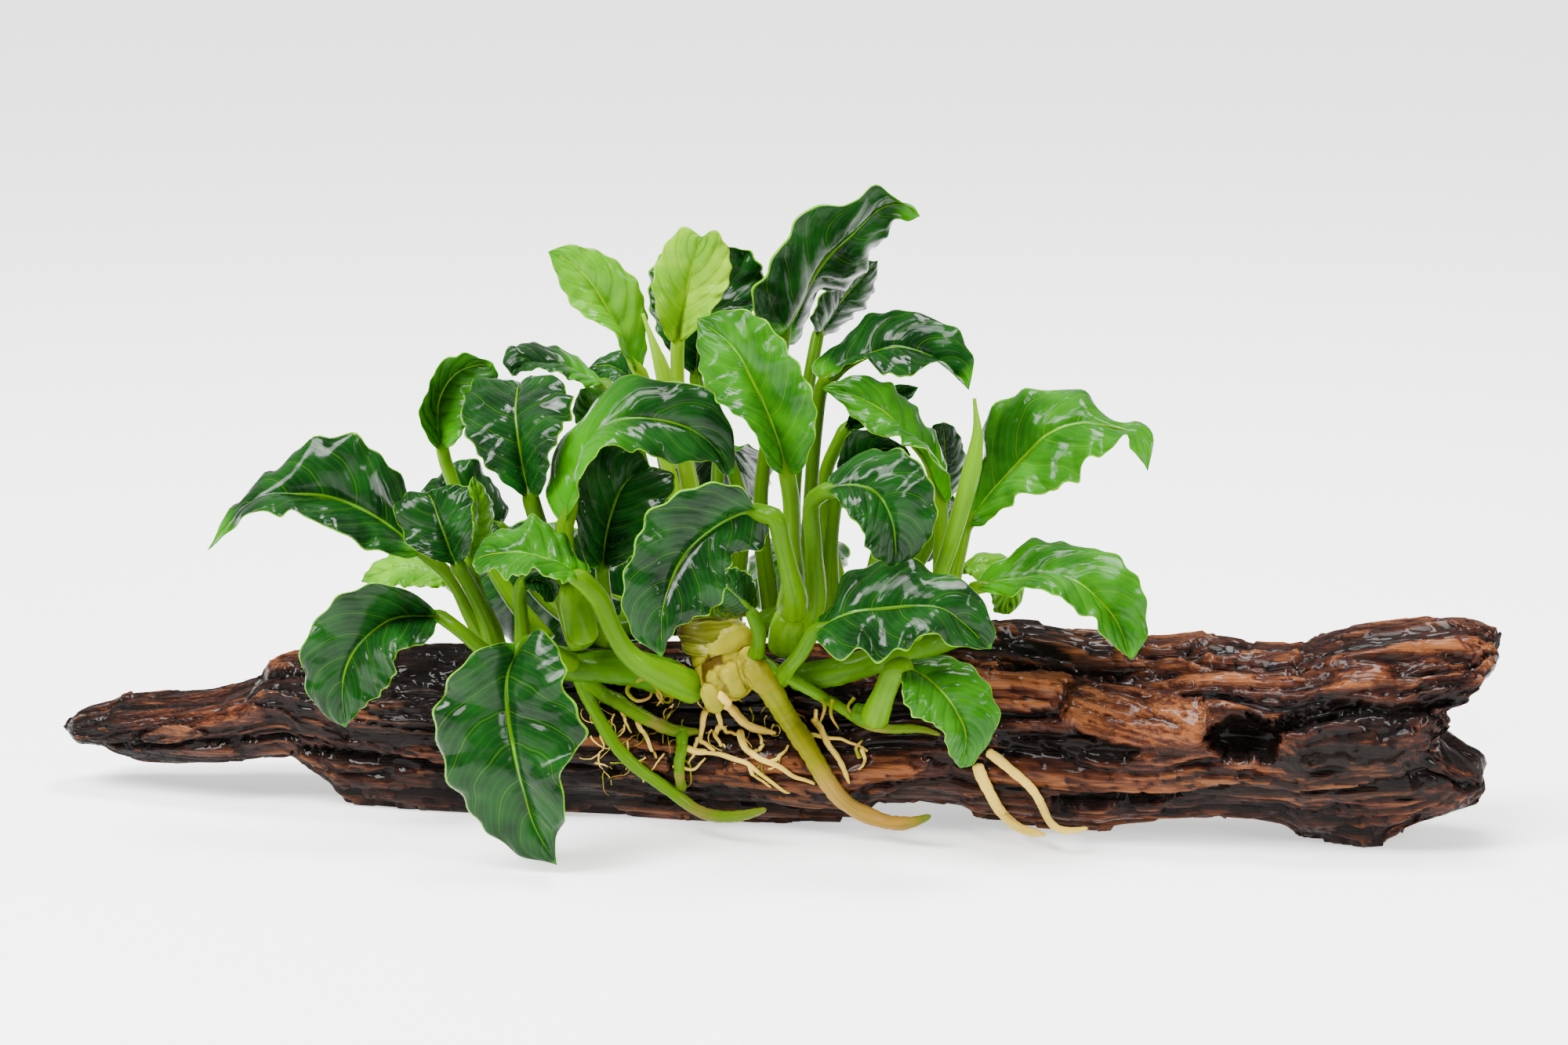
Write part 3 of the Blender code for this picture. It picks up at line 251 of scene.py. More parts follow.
LEAVES = {
    "leaf_front_hanging": Leaf(
        Shade.DARK, 15, (-1, -1),
        ((728, 846, -22), (704, 832, -31), (682, 818, -39)),
        ((664, 822, -42), (647, 864, -46), (648, 915, -48), (656, 956, -50), (667, 1004, -51),
         (681, 1053, -51), (711, 1104, -50)),
        ((633, 821), (601, 835), (564, 881), (555, 924), (567, 981), (594, 1030), (653, 1085)),
        ((692, 803), (723, 849), (719, 875), (747, 933), (716, 990), (724, 1036), (708, 1070)),
    ),
    "leaf_front_centre": Leaf(
        Shade.DARK, 14, (-0.6, 0.0),
        ((1012, 776, -24), (1014, 757, -31), (1007, 730, -34), (997, 690, -38), (990, 662, -41)),
        ((976, 656, -42), (951, 654, -42), (913, 671, -43), (882, 697, -45), (860, 732, -48),
         (845, 780, -51), (844, 838, -53)),
        ((965, 648), (944, 623), (905, 615), (835, 648), (804, 709), (793, 760), (806, 808)),
        ((981, 676), (972, 700), (948, 704), (929, 718), (926, 748), (912, 778), (884, 790),
         (862, 803), (850, 824)),
        foot_mm=3.2, stalk_mm=2.0,
    ),
    "leaf_front_right": Leaf(
        Shade.DARK, 13, (1, -1),
        ((996, 866, -19), (1008, 849, -29), (1020, 836, -32), (1031, 818, -34)),
        ((1037, 806, -35), (1063, 791, -37), (1098, 780, -38), (1132, 775, -38),
         (1173, 773, -38), (1215, 784, -37), (1264, 828, -35)),
        ((1044, 788), (1063, 763), (1077, 735), (1108, 720), (1160, 713), (1201, 729),
         (1246, 756), (1268, 800)),
        ((1046, 822), (1074, 842), (1094, 828), (1118, 842), (1153, 832), (1180, 808),
         (1222, 825)),
    ),
    "leaf_front_arching": Leaf(
        Shade.MIDDLE, 11, (1, -1),
        ((884, 877, -18), (828, 853, -30), (800, 832, -33), (781, 802, -35), (764, 764, -36)),
        ((741, 738, -37), (709, 716, -38), (672, 707, -38), (640, 705, -38), (614, 710, -37),
         (602, 720, -36)),
        ((752, 728), (719, 685), (686, 662), (650, 672), (618, 688)),
        ((706, 741), (678, 727), (650, 738), (628, 728), (610, 731)),
        foot_mm=3.6, stalk_mm=2.1, pale=(0.22, 0.05),
    ),
    "leaf_far_left": Leaf(
        Shade.DARK, 14, (1, -1),
        ((628, 834, -8), (614, 806, -9), (598, 780, -10), (574, 736, -12)),
        ((540, 705, -14), (489, 667, -16), (413, 632, -18), (328, 640, -20), (264, 703, -21)),
        ((532, 650), (500, 594), (453, 556), (404, 560), (355, 596), (302, 638)),
        ((515, 712), (453, 692), (399, 664), (346, 650), (300, 672)),
        foot_mm=2.6, pale=(0.10, 0.14),
    ),
    "leaf_left_low": Leaf(
        Shade.DARK, 12, (-1, -1),
        ((646, 846, -16), (616, 829, -22), (586, 804, -25)),
        ((562, 786, -24), (506, 788, -28), (471, 810, -31), (448, 837, -33), (437, 873, -34),
         (441, 928, -34)),
        ((529, 757), (471, 745), (413, 777), (384, 832), (395, 886), (420, 918)),
        ((544, 819), (506, 832), (504, 860), (489, 882), (460, 905)),
    ),
    "leaf_bottom_right": Leaf(
        Shade.MIDDLE, 10, (1, -1),
        ((1116, 914, -24), (1128, 884, -31), (1139, 858, -34)),
        ((1150, 851, -36), (1175, 859, -37), (1197, 878, -38), (1220, 908, -38),
         (1232, 939, -38), (1225, 980, -37)),
        ((1166, 840), (1205, 838), (1236, 845), (1266, 885), (1274, 908), (1266, 943),
         (1242, 972)),
        ((1150, 870), (1152, 893), (1163, 912), (1197, 928), (1211, 962)),
        foot_mm=3.0, stalk_mm=2.4,
    ),
    "leaf_right_centre": Leaf(
        Shade.DARK, 11, (1, -1),
        ((1026, 800, -16), (1040, 762, -21), (1038, 700, -27), (1035, 645, -28)),
        ((1052, 626, -29), (1087, 619, -30), (1110, 623, -31), (1126, 639, -31),
         (1138, 665, -32), (1142, 692, -32), (1143, 722, -31)),
        ((1060, 605), (1080, 589), (1122, 573), (1165, 582), (1191, 623), (1193, 670),
         (1172, 706)),
        ((1068, 636), (1080, 655), (1099, 676), (1106, 701), (1127, 719)),
        foot_mm=2.7, stalk_mm=1.8,
    ),
    "leaf_centre_left": Leaf(
        Shade.DARK, 12, (1, -1),
        ((726, 732, -27), (724, 716, -28), (721, 696, -29)),
        ((720, 672, -29), (727, 640, -29), (735, 600, -28), (750, 565, -27), (785, 540, -26),
         (830, 534, -26), (880, 547, -26), (915, 575, -26), (935, 608, -26)),
        ((704, 650), (696, 620), (706, 585), (726, 550), (762, 508), (809, 476), (853, 491),
         (895, 490), (927, 530), (938, 575)),
        ((728, 650), (742, 610), (760, 584), (790, 570), (825, 578), (860, 592), (903, 588),
         (922, 604)),
        foot_mm=2.3, stalk_mm=1.9, pale=(0.46, 0.02),
    ),
    "leaf_left_facing": Leaf(
        Shade.DARK, 12, (-1, -1),
        ((742, 822, -16), (712, 740, -21), (688, 672, -20)),
        ((678, 640, -19), (668, 602, -18), (661, 562, -17), (658, 524, -13), (660, 496, -5),
         (664, 488, 5)),
        ((660, 628), (630, 604), (604, 572), (590, 542), (592, 512), (602, 488), (632, 484)),
        ((694, 622), (703, 580), (722, 540), (731, 510), (712, 486), (688, 480)),
        foot_mm=3.0, stalk_mm=1.9,
    ),
    "leaf_centre_top": Leaf(
        Shade.MIDDLE, 12, (-1, -1),
        ((1006, 778, -16), (1012, 735, -20), (1010, 690, -21), (1009, 640, -22)),
        ((1004, 606, -23), (994, 567, -24), (976, 520, -24), (958, 482, -23), (934, 441, -21),
         (889, 406, -18)),
        ((982, 596), (957, 545), (917, 513), (895, 482), (890, 440)),
        ((1022, 600), (1038, 560), (1040, 513), (1016, 461), (981, 413), (940, 394)),
        foot_mm=2.8, stalk_mm=1.8,
    ),
    "leaf_right_top": Leaf(
        Shade.DARK, 11, (1, -1),
        ((1030, 784, 2), (1032, 700, -1), (1036, 600, -2), (1044, 515, -1)),
        ((1050, 487, 0), (1085, 462, -1), (1117, 448, -2), (1150, 444, -3), (1195, 458, -4),
         (1236, 498, -5)),
        ((1034, 470), (1057, 450), (1092, 417), (1117, 395), (1147, 396), (1202, 410),
         (1241, 451)),
        ((1067, 476), (1099, 457), (1129, 479), (1168, 476), (1190, 461), (1216, 474)),
        foot_mm=2.6, pale=(0.12, 0.10),
    ),
    "leaf_right_light": Leaf(
        Shade.MIDDLE, 10, (1, -1),
        ((1178, 828, -11), (1196, 760, -14), (1199, 700, -14), (1201, 665, -14)),
        ((1200, 644, -14), (1185, 592, -15), (1161, 561, -16), (1130, 526, -16),
         (1087, 504, -16), (1048, 495, -16)),
        ((1207, 610), (1191, 554), (1158, 509), (1112, 481), (1078, 481)),
        ((1215, 632), (1206, 604), (1182, 576), (1147, 564), (1108, 549), (1076, 518)),
        foot_mm=2.5, pale=(0.30, 0.04),
    ),
    "leaf_big_right": Leaf(
        Shade.MIDDLE, 14, (1, -1),
        ((1204, 818, -8), (1217, 740, 0), (1226, 696, 3)),
        ((1231, 672, 4), (1257, 639, 5), (1282, 608, 5), (1308, 580, 5), (1338, 554, 4),
         (1384, 540, 3), (1428, 546, 2), (1454, 558, 1), (1464, 602, 0)),
        ((1234, 645), (1254, 588), (1256, 542), (1290, 498), (1326, 498), (1383, 496),
         (1398, 528), (1430, 539), (1454, 538), (1473, 566)),
        ((1262, 666), (1292, 636), (1340, 628), (1368, 616), (1386, 588), (1420, 570),
         (1436, 560), (1450, 582)),
        foot_mm=2.6, pale=(0.16, 0.15),
    ),
    "leaf_right_low": Leaf(
        Shade.MIDDLE, 12, (1, -1),
        ((1224, 812, -12), (1230, 788, -14), (1236, 764, -14)),
        ((1243, 750, -13), (1275, 742, -13), (1305, 738, -13), (1338, 733, -14),
         (1371, 743, -15), (1397, 761, -16), (1424, 792, -17), (1443, 842, -18)),
        ((1252, 733), (1290, 706), (1330, 687), (1374, 696), (1410, 701), (1450, 737),
         (1465, 789), (1458, 822)),
        ((1262, 757), (1300, 756), (1336, 754), (1360, 772), (1394, 788), (1402, 808),
         (1424, 826)),
        foot_mm=2.4, pale=(0.20, 0.05),
    ),
    "leaf_left_small_dark": Leaf(
        Shade.DARK, 9, (-1, -1),
        ((634, 837, -13), (623, 795, -15), (600, 748, -20)),
        ((585, 724, -23), (573, 699, -24), (562, 668, -25), (552, 640, -24), (545, 628, -20)),
        ((556, 714), (524, 699), (511, 676), (502, 648), (520, 630)),
        ((600, 700), (604, 660), (598, 622), (572, 620)),
        foot_mm=2.6, stalk_mm=1.8,
    ),
    "leaf_left_small_bright": Leaf(
        Shade.BRIGHT, 7, (-1, 1),
        ((640, 838, -9), (622, 790, -15), (605, 742, -18)),
        ((599, 716, -18), (606, 682, -18), (611, 645, -18), (603, 607, -17)),
        ((590, 690), (594, 650), (596, 622)),
        ((624, 690), (630, 655), (618, 623)),
    ),
    "leaf_left_back_up": Leaf(
        Shade.BRIGHT, 9, (-1, -1),
        ((698, 818, 2), (648, 756, 5), (600, 670, 7), (572, 600, 8)),
        ((565, 576, 8), (558, 540, 9), (562, 505, 9), (584, 474, 8), (628, 462, 7)),
        ((550, 566), (534, 530), (544, 500), (561, 464), (592, 450)),
        ((584, 562), (600, 532), (616, 504), (636, 482)),
        # A darker finish than its own age's: painted shade
        pale=(0.30, 0.05), look=Shade.MIDDLE,
    ),
    "leaf_back_left_arching": Leaf(
        Shade.DARK, 9, (1, -1),
        ((850, 796, 6), (840, 680, 10), (800, 530, 13)),
        ((772, 490, 14), (735, 474, 13), (705, 466, 11), (674, 463, 8), (653, 480, 6)),
        ((756, 474), (724, 450), (700, 440), (667, 438), (640, 456)),
        ((754, 494), (726, 482), (700, 474), (680, 470), (662, 478)),
        pale=(0.40, 0.02),
    ),
    "leaf_top_young": Leaf(
        Shade.YOUNG, 9, (-1, 1),
        ((888, 794, 2), (868, 660, 2), (836, 540, 3)),
        ((818, 477, 3), (795, 434, 2), (775, 394, 1), (754, 361, 0), (729, 336, -1),
         (699, 321, -2)),
        ((806, 470), (782, 425), (744, 403), (720, 375), (706, 341)),
        ((824, 440), (823, 380), (799, 345), (768, 322), (726, 312)),
        # A darker finish than its own age's: painted shade
        foot_mm=2.5, pale=(0.25, 0.10), look=Shade.BRIGHT,
    ),
    "leaf_top_bright": Leaf(
        Shade.YOUNG, 9, (-1, -1),
        ((930, 796, 4), (892, 660, 6), (868, 540, 7), (864, 470, 8)),
        ((864, 440, 8), (872, 395, 8), (880, 350, 7), (895, 302, 5)),
        ((850, 430), (838, 400), (832, 360), (840, 328), (858, 300), (876, 289)),
        ((882, 427), (906, 400), (928, 365), (932, 330), (914, 294)),
        foot_mm=2.5,
    ),
    "leaf_top_large": Leaf(
        Shade.DARK, 14, (-1, 1),
        ((985, 794, 6), (970, 650, 12), (985, 520, 15)),
        ((998, 440, 17), (1008, 414, 17), (1029, 372, 16), (1050, 338, 15), (1084, 300, 13),
         (1126, 265, 11), (1160, 262, 9), (1174, 276, 8)),
        ((985, 426), (960, 393), (974, 340), (1000, 312), (1022, 272), (1052, 264),
         (1090, 252), (1118, 238), (1152, 256)),
        ((1012, 437), (1028, 414), (1040, 378), (1090, 360), (1109, 330), (1130, 304),
         (1140, 284), (1162, 280)),
        pale=(0.10, 0.12),
    ),
    "leaf_top_dark_back": Leaf(
        Shade.DARK, 12, (-1, -1),
        ((935, 792, 9), (945, 640, 18), (900, 530, 25)),
        ((887, 482, 27), (892, 435, 28), (900, 385, 28), (908, 345, 27), (918, 316, 25)),
        ((862, 460), (838, 420), (826, 372), (838, 330), (875, 312)),
        ((914, 466), (950, 420), (972, 370), (970, 336), (945, 315)),
    ),
    "leaf_top_back_right": Leaf(
        Shade.DARK, 9, (-1, 1),
        ((1020, 788, 8), (1012, 640, 18), (1030, 500, 26)),
        ((1042, 432, 29), (1065, 395, 30), (1092, 362, 31), (1120, 332, 31)),
        ((1036, 405), (1052, 365), (1080, 334)),
        ((1062, 424), (1096, 398), (1116, 366)),
    ),
    "leaf_right_dark_back": Leaf(
        Shade.DARK, 8, (-1, -1),
        ((1060, 790, 4), (1060, 700, -2), (1066, 640, -5)),
        ((1074, 612, -6), (1096, 588, -6), (1128, 572, -6), (1162, 580, -6)),
        ((1068, 590), (1085, 550), (1119, 553), (1152, 568)),
        ((1092, 610), (1120, 600), (1150, 594)),
    ),
    "leaf_right_sliver": Leaf(
        Shade.DARK, 7, (-1, 1),
        ((1110, 787, 6), (1170, 720, 14)),
        ((1204, 645, 18), (1206, 605, 19), (1205, 570, 19), (1203, 538, 18)),
        ((1188, 625), (1180, 580), (1188, 546)),
        ((1224, 620), (1232, 580), (1218, 546)),
    ),
    "leaf_right_back_low": Leaf(
        Shade.BRIGHT, 7, (1, -1),
        ((1124, 786, 10), (1180, 750, 18)),
        ((1226, 724, 20), (1258, 722, 21), (1284, 744, 22), (1287, 784, 22)),
        ((1246, 706), (1282, 710), (1306, 745), (1300, 772)),
        ((1240, 736), (1262, 755), (1268, 780)),
    ),
    "leaf_centre_small": Leaf(
        Shade.DARK, 7, (1, 1),
        ((962, 842, -19), (967, 824, -26), (968, 808, -29)),
        ((960, 784, -30), (948, 768, -31), (930, 752, -32), (912, 740, -32)),
        ((967, 766), (958, 735), (932, 724)),
        ((944, 788), (924, 786), (906, 762)),
    ),
    "leaf_left_inner": Leaf(
        Shade.DARK, 12, (-1, -1),
        ((772, 822, -12), (775, 790, -14), (770, 752, -14)),
        ((768, 728, -14), (772, 690, -14), (780, 655, -13), (790, 628, -11), (806, 608, -9),
         (830, 595, -6)),
        ((752, 722), (738, 690), (734, 645), (742, 600), (768, 566), (806, 568)),
        ((802, 714), (832, 678), (852, 640), (862, 606)),
        foot_mm=3.1,
    ),
    "leaf_back_left_low": Leaf(
        Shade.DARK, 10, (1, -1),
        ((752, 806, 12), (690, 760, 14), (654, 705, 14)),
        ((640, 674, 14), (610, 647, 15), (575, 633, 16), (532, 632, 17)),
        ((646, 645), (612, 592), (590, 586), (556, 606)),
        ((626, 682), (590, 668), (555, 652)),
    ),
    "leaf_left_lowest_back": Leaf(
        Shade.BRIGHT, 7, (1, -1),
        ((622, 832, -4), (624, 802, 4), (602, 768, 15)),
        ((572, 742, 20), (540, 728, 21), (500, 726, 22), (460, 742, 23)),
        ((558, 722), (515, 704), (478, 718)),
        ((560, 750), (525, 748), (490, 748)),
    ),
    "leaf_back_sliver_left": Leaf(
        Shade.MIDDLE, 7, (-1, -1),
        ((800, 802, 12), (815, 700, 17)),
        ((800, 600, 20), (774, 548, 22), (754, 516, 22), (740, 496, 21)),
        ((776, 585), (744, 550), (730, 526)),
        ((800, 565), (778, 512), (762, 494)),
    ),
    "leaf_back_sliver_top": Leaf(
        Shade.DARK, 6, (1, -1),
        ((866, 794, 10), (858, 650, 20)),
        ((832, 520, 25), (806, 486, 26), (778, 466, 26), (750, 470, 26)),
        ((826, 486), (796, 448), (766, 456)),
        ((816, 512), (784, 488), (760, 482)),
    ),
    "leaf_small_curled": Leaf(
        Shade.DARK, 5, (-1, -1),
        ((668, 836, -18), (666, 800, -20), (663, 760, -21)),
        ((666, 744, -21), (686, 740, -22), (702, 748, -23), (706, 768, -23)),
        ((676, 730), (698, 730), (714, 748)),
        ((676, 752), (688, 758), (696, 768)),
    ),
    "leaf_back_right_bit": Leaf(
        Shade.DARK, 6, (-1, -1),
        ((1082, 787, 9), (1056, 690, 12), (1052, 610, 14)),
        ((1076, 550, 15), (1102, 522, 16), (1138, 502, 17), (1172, 494, 17)),
        ((1086, 526), (1116, 502), (1148, 490)),
        ((1096, 548), (1130, 530), (1160, 510)),
    ),
    "leaf_behind_left": Leaf(
        Shade.MIDDLE, 13, (1, -1),
        ((824, 800, 12), (824, 788, 18)),
        ((818, 774, 25), (762, 752, 30), (716, 740, 36), (676, 730, 41), (640, 728, 46),
         (604, 742, 51)),
        ((814, 702), (756, 676), (696, 664), (640, 672), (612, 700)),
        ((812, 824), (752, 834), (690, 828), (640, 814), (612, 786)),
        # A darker finish than its own age's: painted shade
        look=Shade.DARK,
    ),
    "leaf_behind_centre_left": Leaf(
        Shade.DARK, 14, (-1, -1),
        ((905, 792, 8), (912, 690, 20), (916, 600, 28)),
        ((918, 572, 32), (920, 556, 42), (918, 566, 56), (912, 606, 66), (904, 662, 70)),
        ((878, 576), (850, 590), (846, 622), (870, 660)),
        ((964, 574), (986, 588), (976, 626), (940, 664)),
    ),
    "leaf_behind_centre_right": Leaf(
        Shade.MIDDLE, 12, (-1, -1),
        ((1040, 790, 10), (1032, 735, 24), (1024, 700, 34)),
        ((1022, 684, 38), (1020, 680, 50), (1014, 704, 62), (1006, 748, 68), (1000, 796, 69)),
        ((980, 690), (956, 706), (954, 744), (974, 786)),
        ((1064, 688), (1084, 704), (1072, 740), (1038, 782)),
    ),
    "leaf_behind_right": Leaf(
        Shade.DARK, 13, (-1, -1),
        ((1100, 787, 12), (1118, 710, 22), (1130, 650, 28)),
        ((1136, 628, 31), (1150, 618, 40), (1168, 628, 51), (1184, 662, 58), (1194, 712, 60)),
        ((1110, 650), (1104, 670), (1132, 700), (1168, 720)),
        ((1178, 610), (1212, 622), (1232, 660), (1222, 704)),
    ),
}

# The rolled young leaves: places in the view, and their radii in millimetres
SPEARS = {
    "spear_left": ((906, 796, -2), (884, 650, -5), (850, 492, -6), (820, 400, -7)),
    "spear_right": (
        (1160, 834, -13), (1200, 730, -16), (1228, 640, -17), (1246, 565, -16), (1243, 508, -15)
    ),
}
SPEAR_RADII = (1.3, 1.6, 1.7, 1.9, 0.4)

# Fine roots: a radius in millimetres, then places in the view, on the wood
FINE_ROOTS = (
    (0.90, ((945, 936), (953, 960), (982, 973), (1011, 987), (1040, 1000))),
    (0.55, ((982, 973), (1000, 962), (1006, 950))),
    (0.55, ((960, 966), (972, 950), (968, 938))),
    (0.75, ((876, 956), (924, 965), (956, 976), (982, 995), (1007, 1012))),
    (0.50, ((956, 976), (964, 990), (984, 1004))),
    (0.80, ((902, 900), (896, 925), (894, 944), (912, 960))),
    (0.70, ((914, 902), (920, 925), (934, 938), (950, 940))),
    (0.60, ((918, 926), (912, 940), (926, 954))),
    (0.60, ((1004, 929), (1044, 940), (1084, 947), (1105, 958))),
    (0.50, ((1040, 905), (1046, 930), (1054, 950))),
    (0.50, ((1100, 958), (1104, 972), (1096, 982))),
    (0.60, ((812, 920), (826, 945), (838, 968))),
    (0.45, ((792, 905), (800, 925), (806, 935))),
    (0.45, ((804, 973), (818, 984), (822, 996))),
    (0.50, ((890, 944), (884, 962), (878, 974))),
    (0.50, ((860, 975), (884, 980), (900, 968))),
)

# Curls that stand off the wood: a radius in millimetres, then places in the view
CURLS = (
    (0.55, ((806, 868, -19), (800, 882, -21), (812, 894, -22), (828, 890, -21), (832, 878, -20))),
    (0.50, ((822, 866, -20), (836, 876, -22), (844, 890, -22), (838, 900, -21))),
    (0.45, ((846, 872, -20), (838, 884, -22), (846, 898, -22))),
    (0.55, ((1046, 886, -21), (1052, 902, -22), (1046, 922, -22))),
    (0.50, ((1062, 892, -21), (1060, 912, -22), (1070, 930, -22))),
    (0.45, ((1090, 890, -21), (1082, 902, -22), (1092, 916, -22))),
    (0.50, ((1096, 966, -20), (1092, 954, -21), (1100, 944, -22))),
    (0.60, ((806, 872, -20), (826, 864, -23), (844, 872, -24), (852, 884, -23))),
)

# The crown's lobes: radii in millimetres, then places in the view
CROWN_LOBES = (
    ((4.4, 6.4, 6.9, 7.0, 6.6), ((930, 892, -17.5), (930, 868, -18), (926, 842, -16), (916, 818, -15),
                                 (906, 798, -14))),
    ((1.4, 2.7, 3.2, 3.2, 2.9), ((950, 828, -17), (956, 840, -20), (965, 854, -22), (976, 870, -23.5),
                                 (985, 882, -23.5))),
    ((2.2, 3.2, 3.3, 2.2), ((924, 844, -20.5), (930, 858, -21.5), (937, 872, -21.5), (944, 888, -20.5))),
    ((1.6, 2.3, 2.2, 1.5), ((904, 870, -21), (907, 884, -22.8), (911, 895, -23), (913, 908, -21.5))),
    ((0.8, 1.3, 1.3, 0.8), ((941, 836, -20.5), (948, 850, -22.6), (952, 866, -22.8), (950, 882, -21.8))),
)

# Brown marks on the crown, and the dark of its slit painted in as shade: places in the
# view, then their half widths in millimetres
CROWN_SCARS = (
    ((906, 845, -22.3), 2.2),
    ((900, 854, -21.5), 1.8),
    ((899, 866, -21.5), 1.3),
    ((916, 842, -22.6), 1.5),
    ((896, 884, -20.5), 1.4),
    ((948, 872, -24.5), 0.6),
    ((950, 842, -23.5), 0.6),
    ((926, 882, -22.5), 0.9),
)

# Folds of old sheath: directions of the ends, heights of the ends, half width in millimetres
HUSK_FOLDS = (
    ((-220, -20), (0.08, 0.20), 2.3),
    ((-205, -5), (0.22, 0.12), 2.1),
    ((-235, -58), (0.31, 0.25), 1.5),
    ((-160, 10), (0.00, -0.05), 2.1),
    ((0, 170), (0.18, 0.08), 2.3),
)

# Stems with faint leaf scars, and how lumpy they are
SMOOTH_STEMS = ("rhizome_centre_branch",)
SMOOTH_LUMP = 0.02

# Where root hairs start: left, right, top and bottom in the view; most are in the first
HAIR_FIELDS = ((750, 1000, 880, 985), (555, 620, 850, 900))


@dataclass(frozen=True)
class FrontView:
    """The view that the plant's places are given in, and the camera that takes it."""

    centre: Corner = (1000.0, 666.5)
    turn: float = math.radians(9.0)
    pitch: float = math.radians(12.0)
    distance: float = 900 * MM
    target: tuple[float, float, float] = (0.0, 0.0, 64.5 * MM)
    picture_width: float = 2000.0
    sensor: float = 36.0

    @property
    def back(self) -> Vector:
        """The direction from the target to the eye."""
        level = math.cos(self.pitch)
        return Vector((
            math.sin(self.turn) * level,
            -math.cos(self.turn) * level,
            math.sin(self.pitch),
        ))

    @property
    def eye(self) -> Vector:
        """The point that the view is taken from."""
        return Vector(self.target) + self.back * self.distance

    @property
    def axes(self) -> tuple[Vector, Vector]:
        """The picture's directions to the right and up."""
        right = Vector((math.cos(self.turn), math.sin(self.turn), 0.0))
        return right, self.back.cross(right)

    def seen(self, place: Place) -> Vector:
        """Finds the point at a place in the view, on the upright plane at its depth.

        Args:
            place: picture units across and down, and millimetres along +Y.

        Returns:
            The point in metres.
        """
        right, up = self.axes
        scale = MM / UNITS_PER_MM
        on_plane = Vector(self.target) + right * (place[0] - self.centre[0]) * scale
        on_plane += up * (self.centre[1] - place[1]) * scale
        ray = on_plane - self.eye
        return self.eye + ray * ((place[2] * MM - self.eye.y) / ray.y)

    def shown(self, point: Vector) -> Corner:
        """Finds where the view shows a point, as picture units across and down.

        Args:
            point: the point in metres.

        Returns:
            Picture units across and down.
        """
        right, up = self.axes
        ray = point - self.eye
        on_plane = self.eye - ray * (self.distance / ray.dot(self.back)) - Vector(self.target)
        scale = UNITS_PER_MM / MM
        return (
            self.centre[0] + on_plane.dot(right) * scale,
            self.centre[1] - on_plane.dot(up) * scale,
        )

    def add_camera(self) -> None:
        """Makes the camera that shows the view's whole picture."""
        camera = bpy.data.cameras.new("front_view")
        width = self.picture_width / UNITS_PER_MM * MM
        camera.sensor_width = self.sensor
        camera.lens = self.sensor * self.distance / width
        rig = placed("front_view", camera)
        rig.location = self.eye
        rig.rotation_euler = (-self.back).to_track_quat("-Z", "Y").to_euler()
        bpy.context.scene.camera = rig


VIEW = FrontView()


def smooth_through(points: Sequence[Place], steps: int = 10) -> list[Vector]:
    """Draws a smooth curve through the given points.

    Args:
        points: the points that the curve passes through.
        steps: how many points it has from each of them to the next.

    Returns:
        The curve's points.
    """
    given = [Vector(point) for point in points]
    ends = [2 * given[0] - given[1]] + given + [2 * given[-1] - given[-2]]
    curve = []
    for a, b, c, d in zip(ends, ends[1:], ends[2:], ends[3:]):
        for step in range(steps):
            t = step / steps
            curve.append(0.5 * (
                2 * b + (c - a) * t + (2 * a - 5 * b + 4 * c - d) * t ** 2
                + (3 * b - a - 3 * c + d) * t ** 3
            ))
    curve.append(given[-1])
    return curve


def evenly(points: Sequence[Vector], count: int) -> list[Vector]:
    """Spaces points evenly along a line.

    Args:
        points: the line.
        count: how many points to space along it.

    Returns:
        The evenly spaced points, ends included.
    """
    lengths = [0.0]
    for a, b in zip(points, points[1:]):
        lengths.append(lengths[-1] + (b - a).length)
    spaced = []
    span = 0
    for index in range(count):
        at = lengths[-1] * index / (count - 1)
        while span < len(points) - 2 and lengths[span + 1] < at:
            span += 1
        part = (at - lengths[span]) / max(lengths[span + 1] - lengths[span], 1e-9)
        spaced.append(points[span].lerp(points[span + 1], min(part, 1.0)))
    return spaced


def length_of(line: Sequence[Vector]) -> float:
    """How long a line is."""
    return sum((b - a).length for a, b in zip(line, line[1:]))


def bell(offset: float, width: float) -> float:
    """Falls from 1 where there is no offset, in the shape of a bell."""
    return math.exp(-(offset / width) ** 2)


def noise_at(x: float, y: float, z: float) -> float:
    """Smooth noise from -1 to 1 at a place."""
    return noise.noise(Vector((x, y, z)))


def value_along(values: Sequence[float], part: float) -> float:
    """Reads a value at a part from 0 to 1 of a list of values, smoothly between them.

    Args:
        values: the values, evenly spaced.
        part: where to read, from 0 to 1.

    Returns:
        The value there.
    """
    at = min(max(part, 0.0), 1.0) * (len(values) - 1)
    low = min(int(at), len(values) - 2)
    share = at - low
    share = share * share * (3 - 2 * share)
    return values[low] + (values[low + 1] - values[low]) * share


def smooth_step(low: float, high: float, value: float) -> float:
    """Rises smoothly from 0 at low to 1 at high."""
    part = min(max((value - low) / (high - low), 0.0), 1.0)
    return part * part * (3 - 2 * part)


def to_millimetres(place: Place) -> Vector:
    """A place in the view with its depth, all in millimetres."""
    depth = place[2] if len(place) > 2 else 0.0
    return Vector((place[0] / UNITS_PER_MM, place[1] / UNITS_PER_MM, depth))


def to_point(place: Vector) -> Vector:
    """The point at a place given in millimetres across, down and deep."""
    return VIEW.seen((place.x * UNITS_PER_MM, place.y * UNITS_PER_MM, place.z))


def seen_line(places: Sequence[Place]) -> list[Vector]:
    """The smooth line through places in the view."""
    return smooth_through([VIEW.seen(place) for place in places])


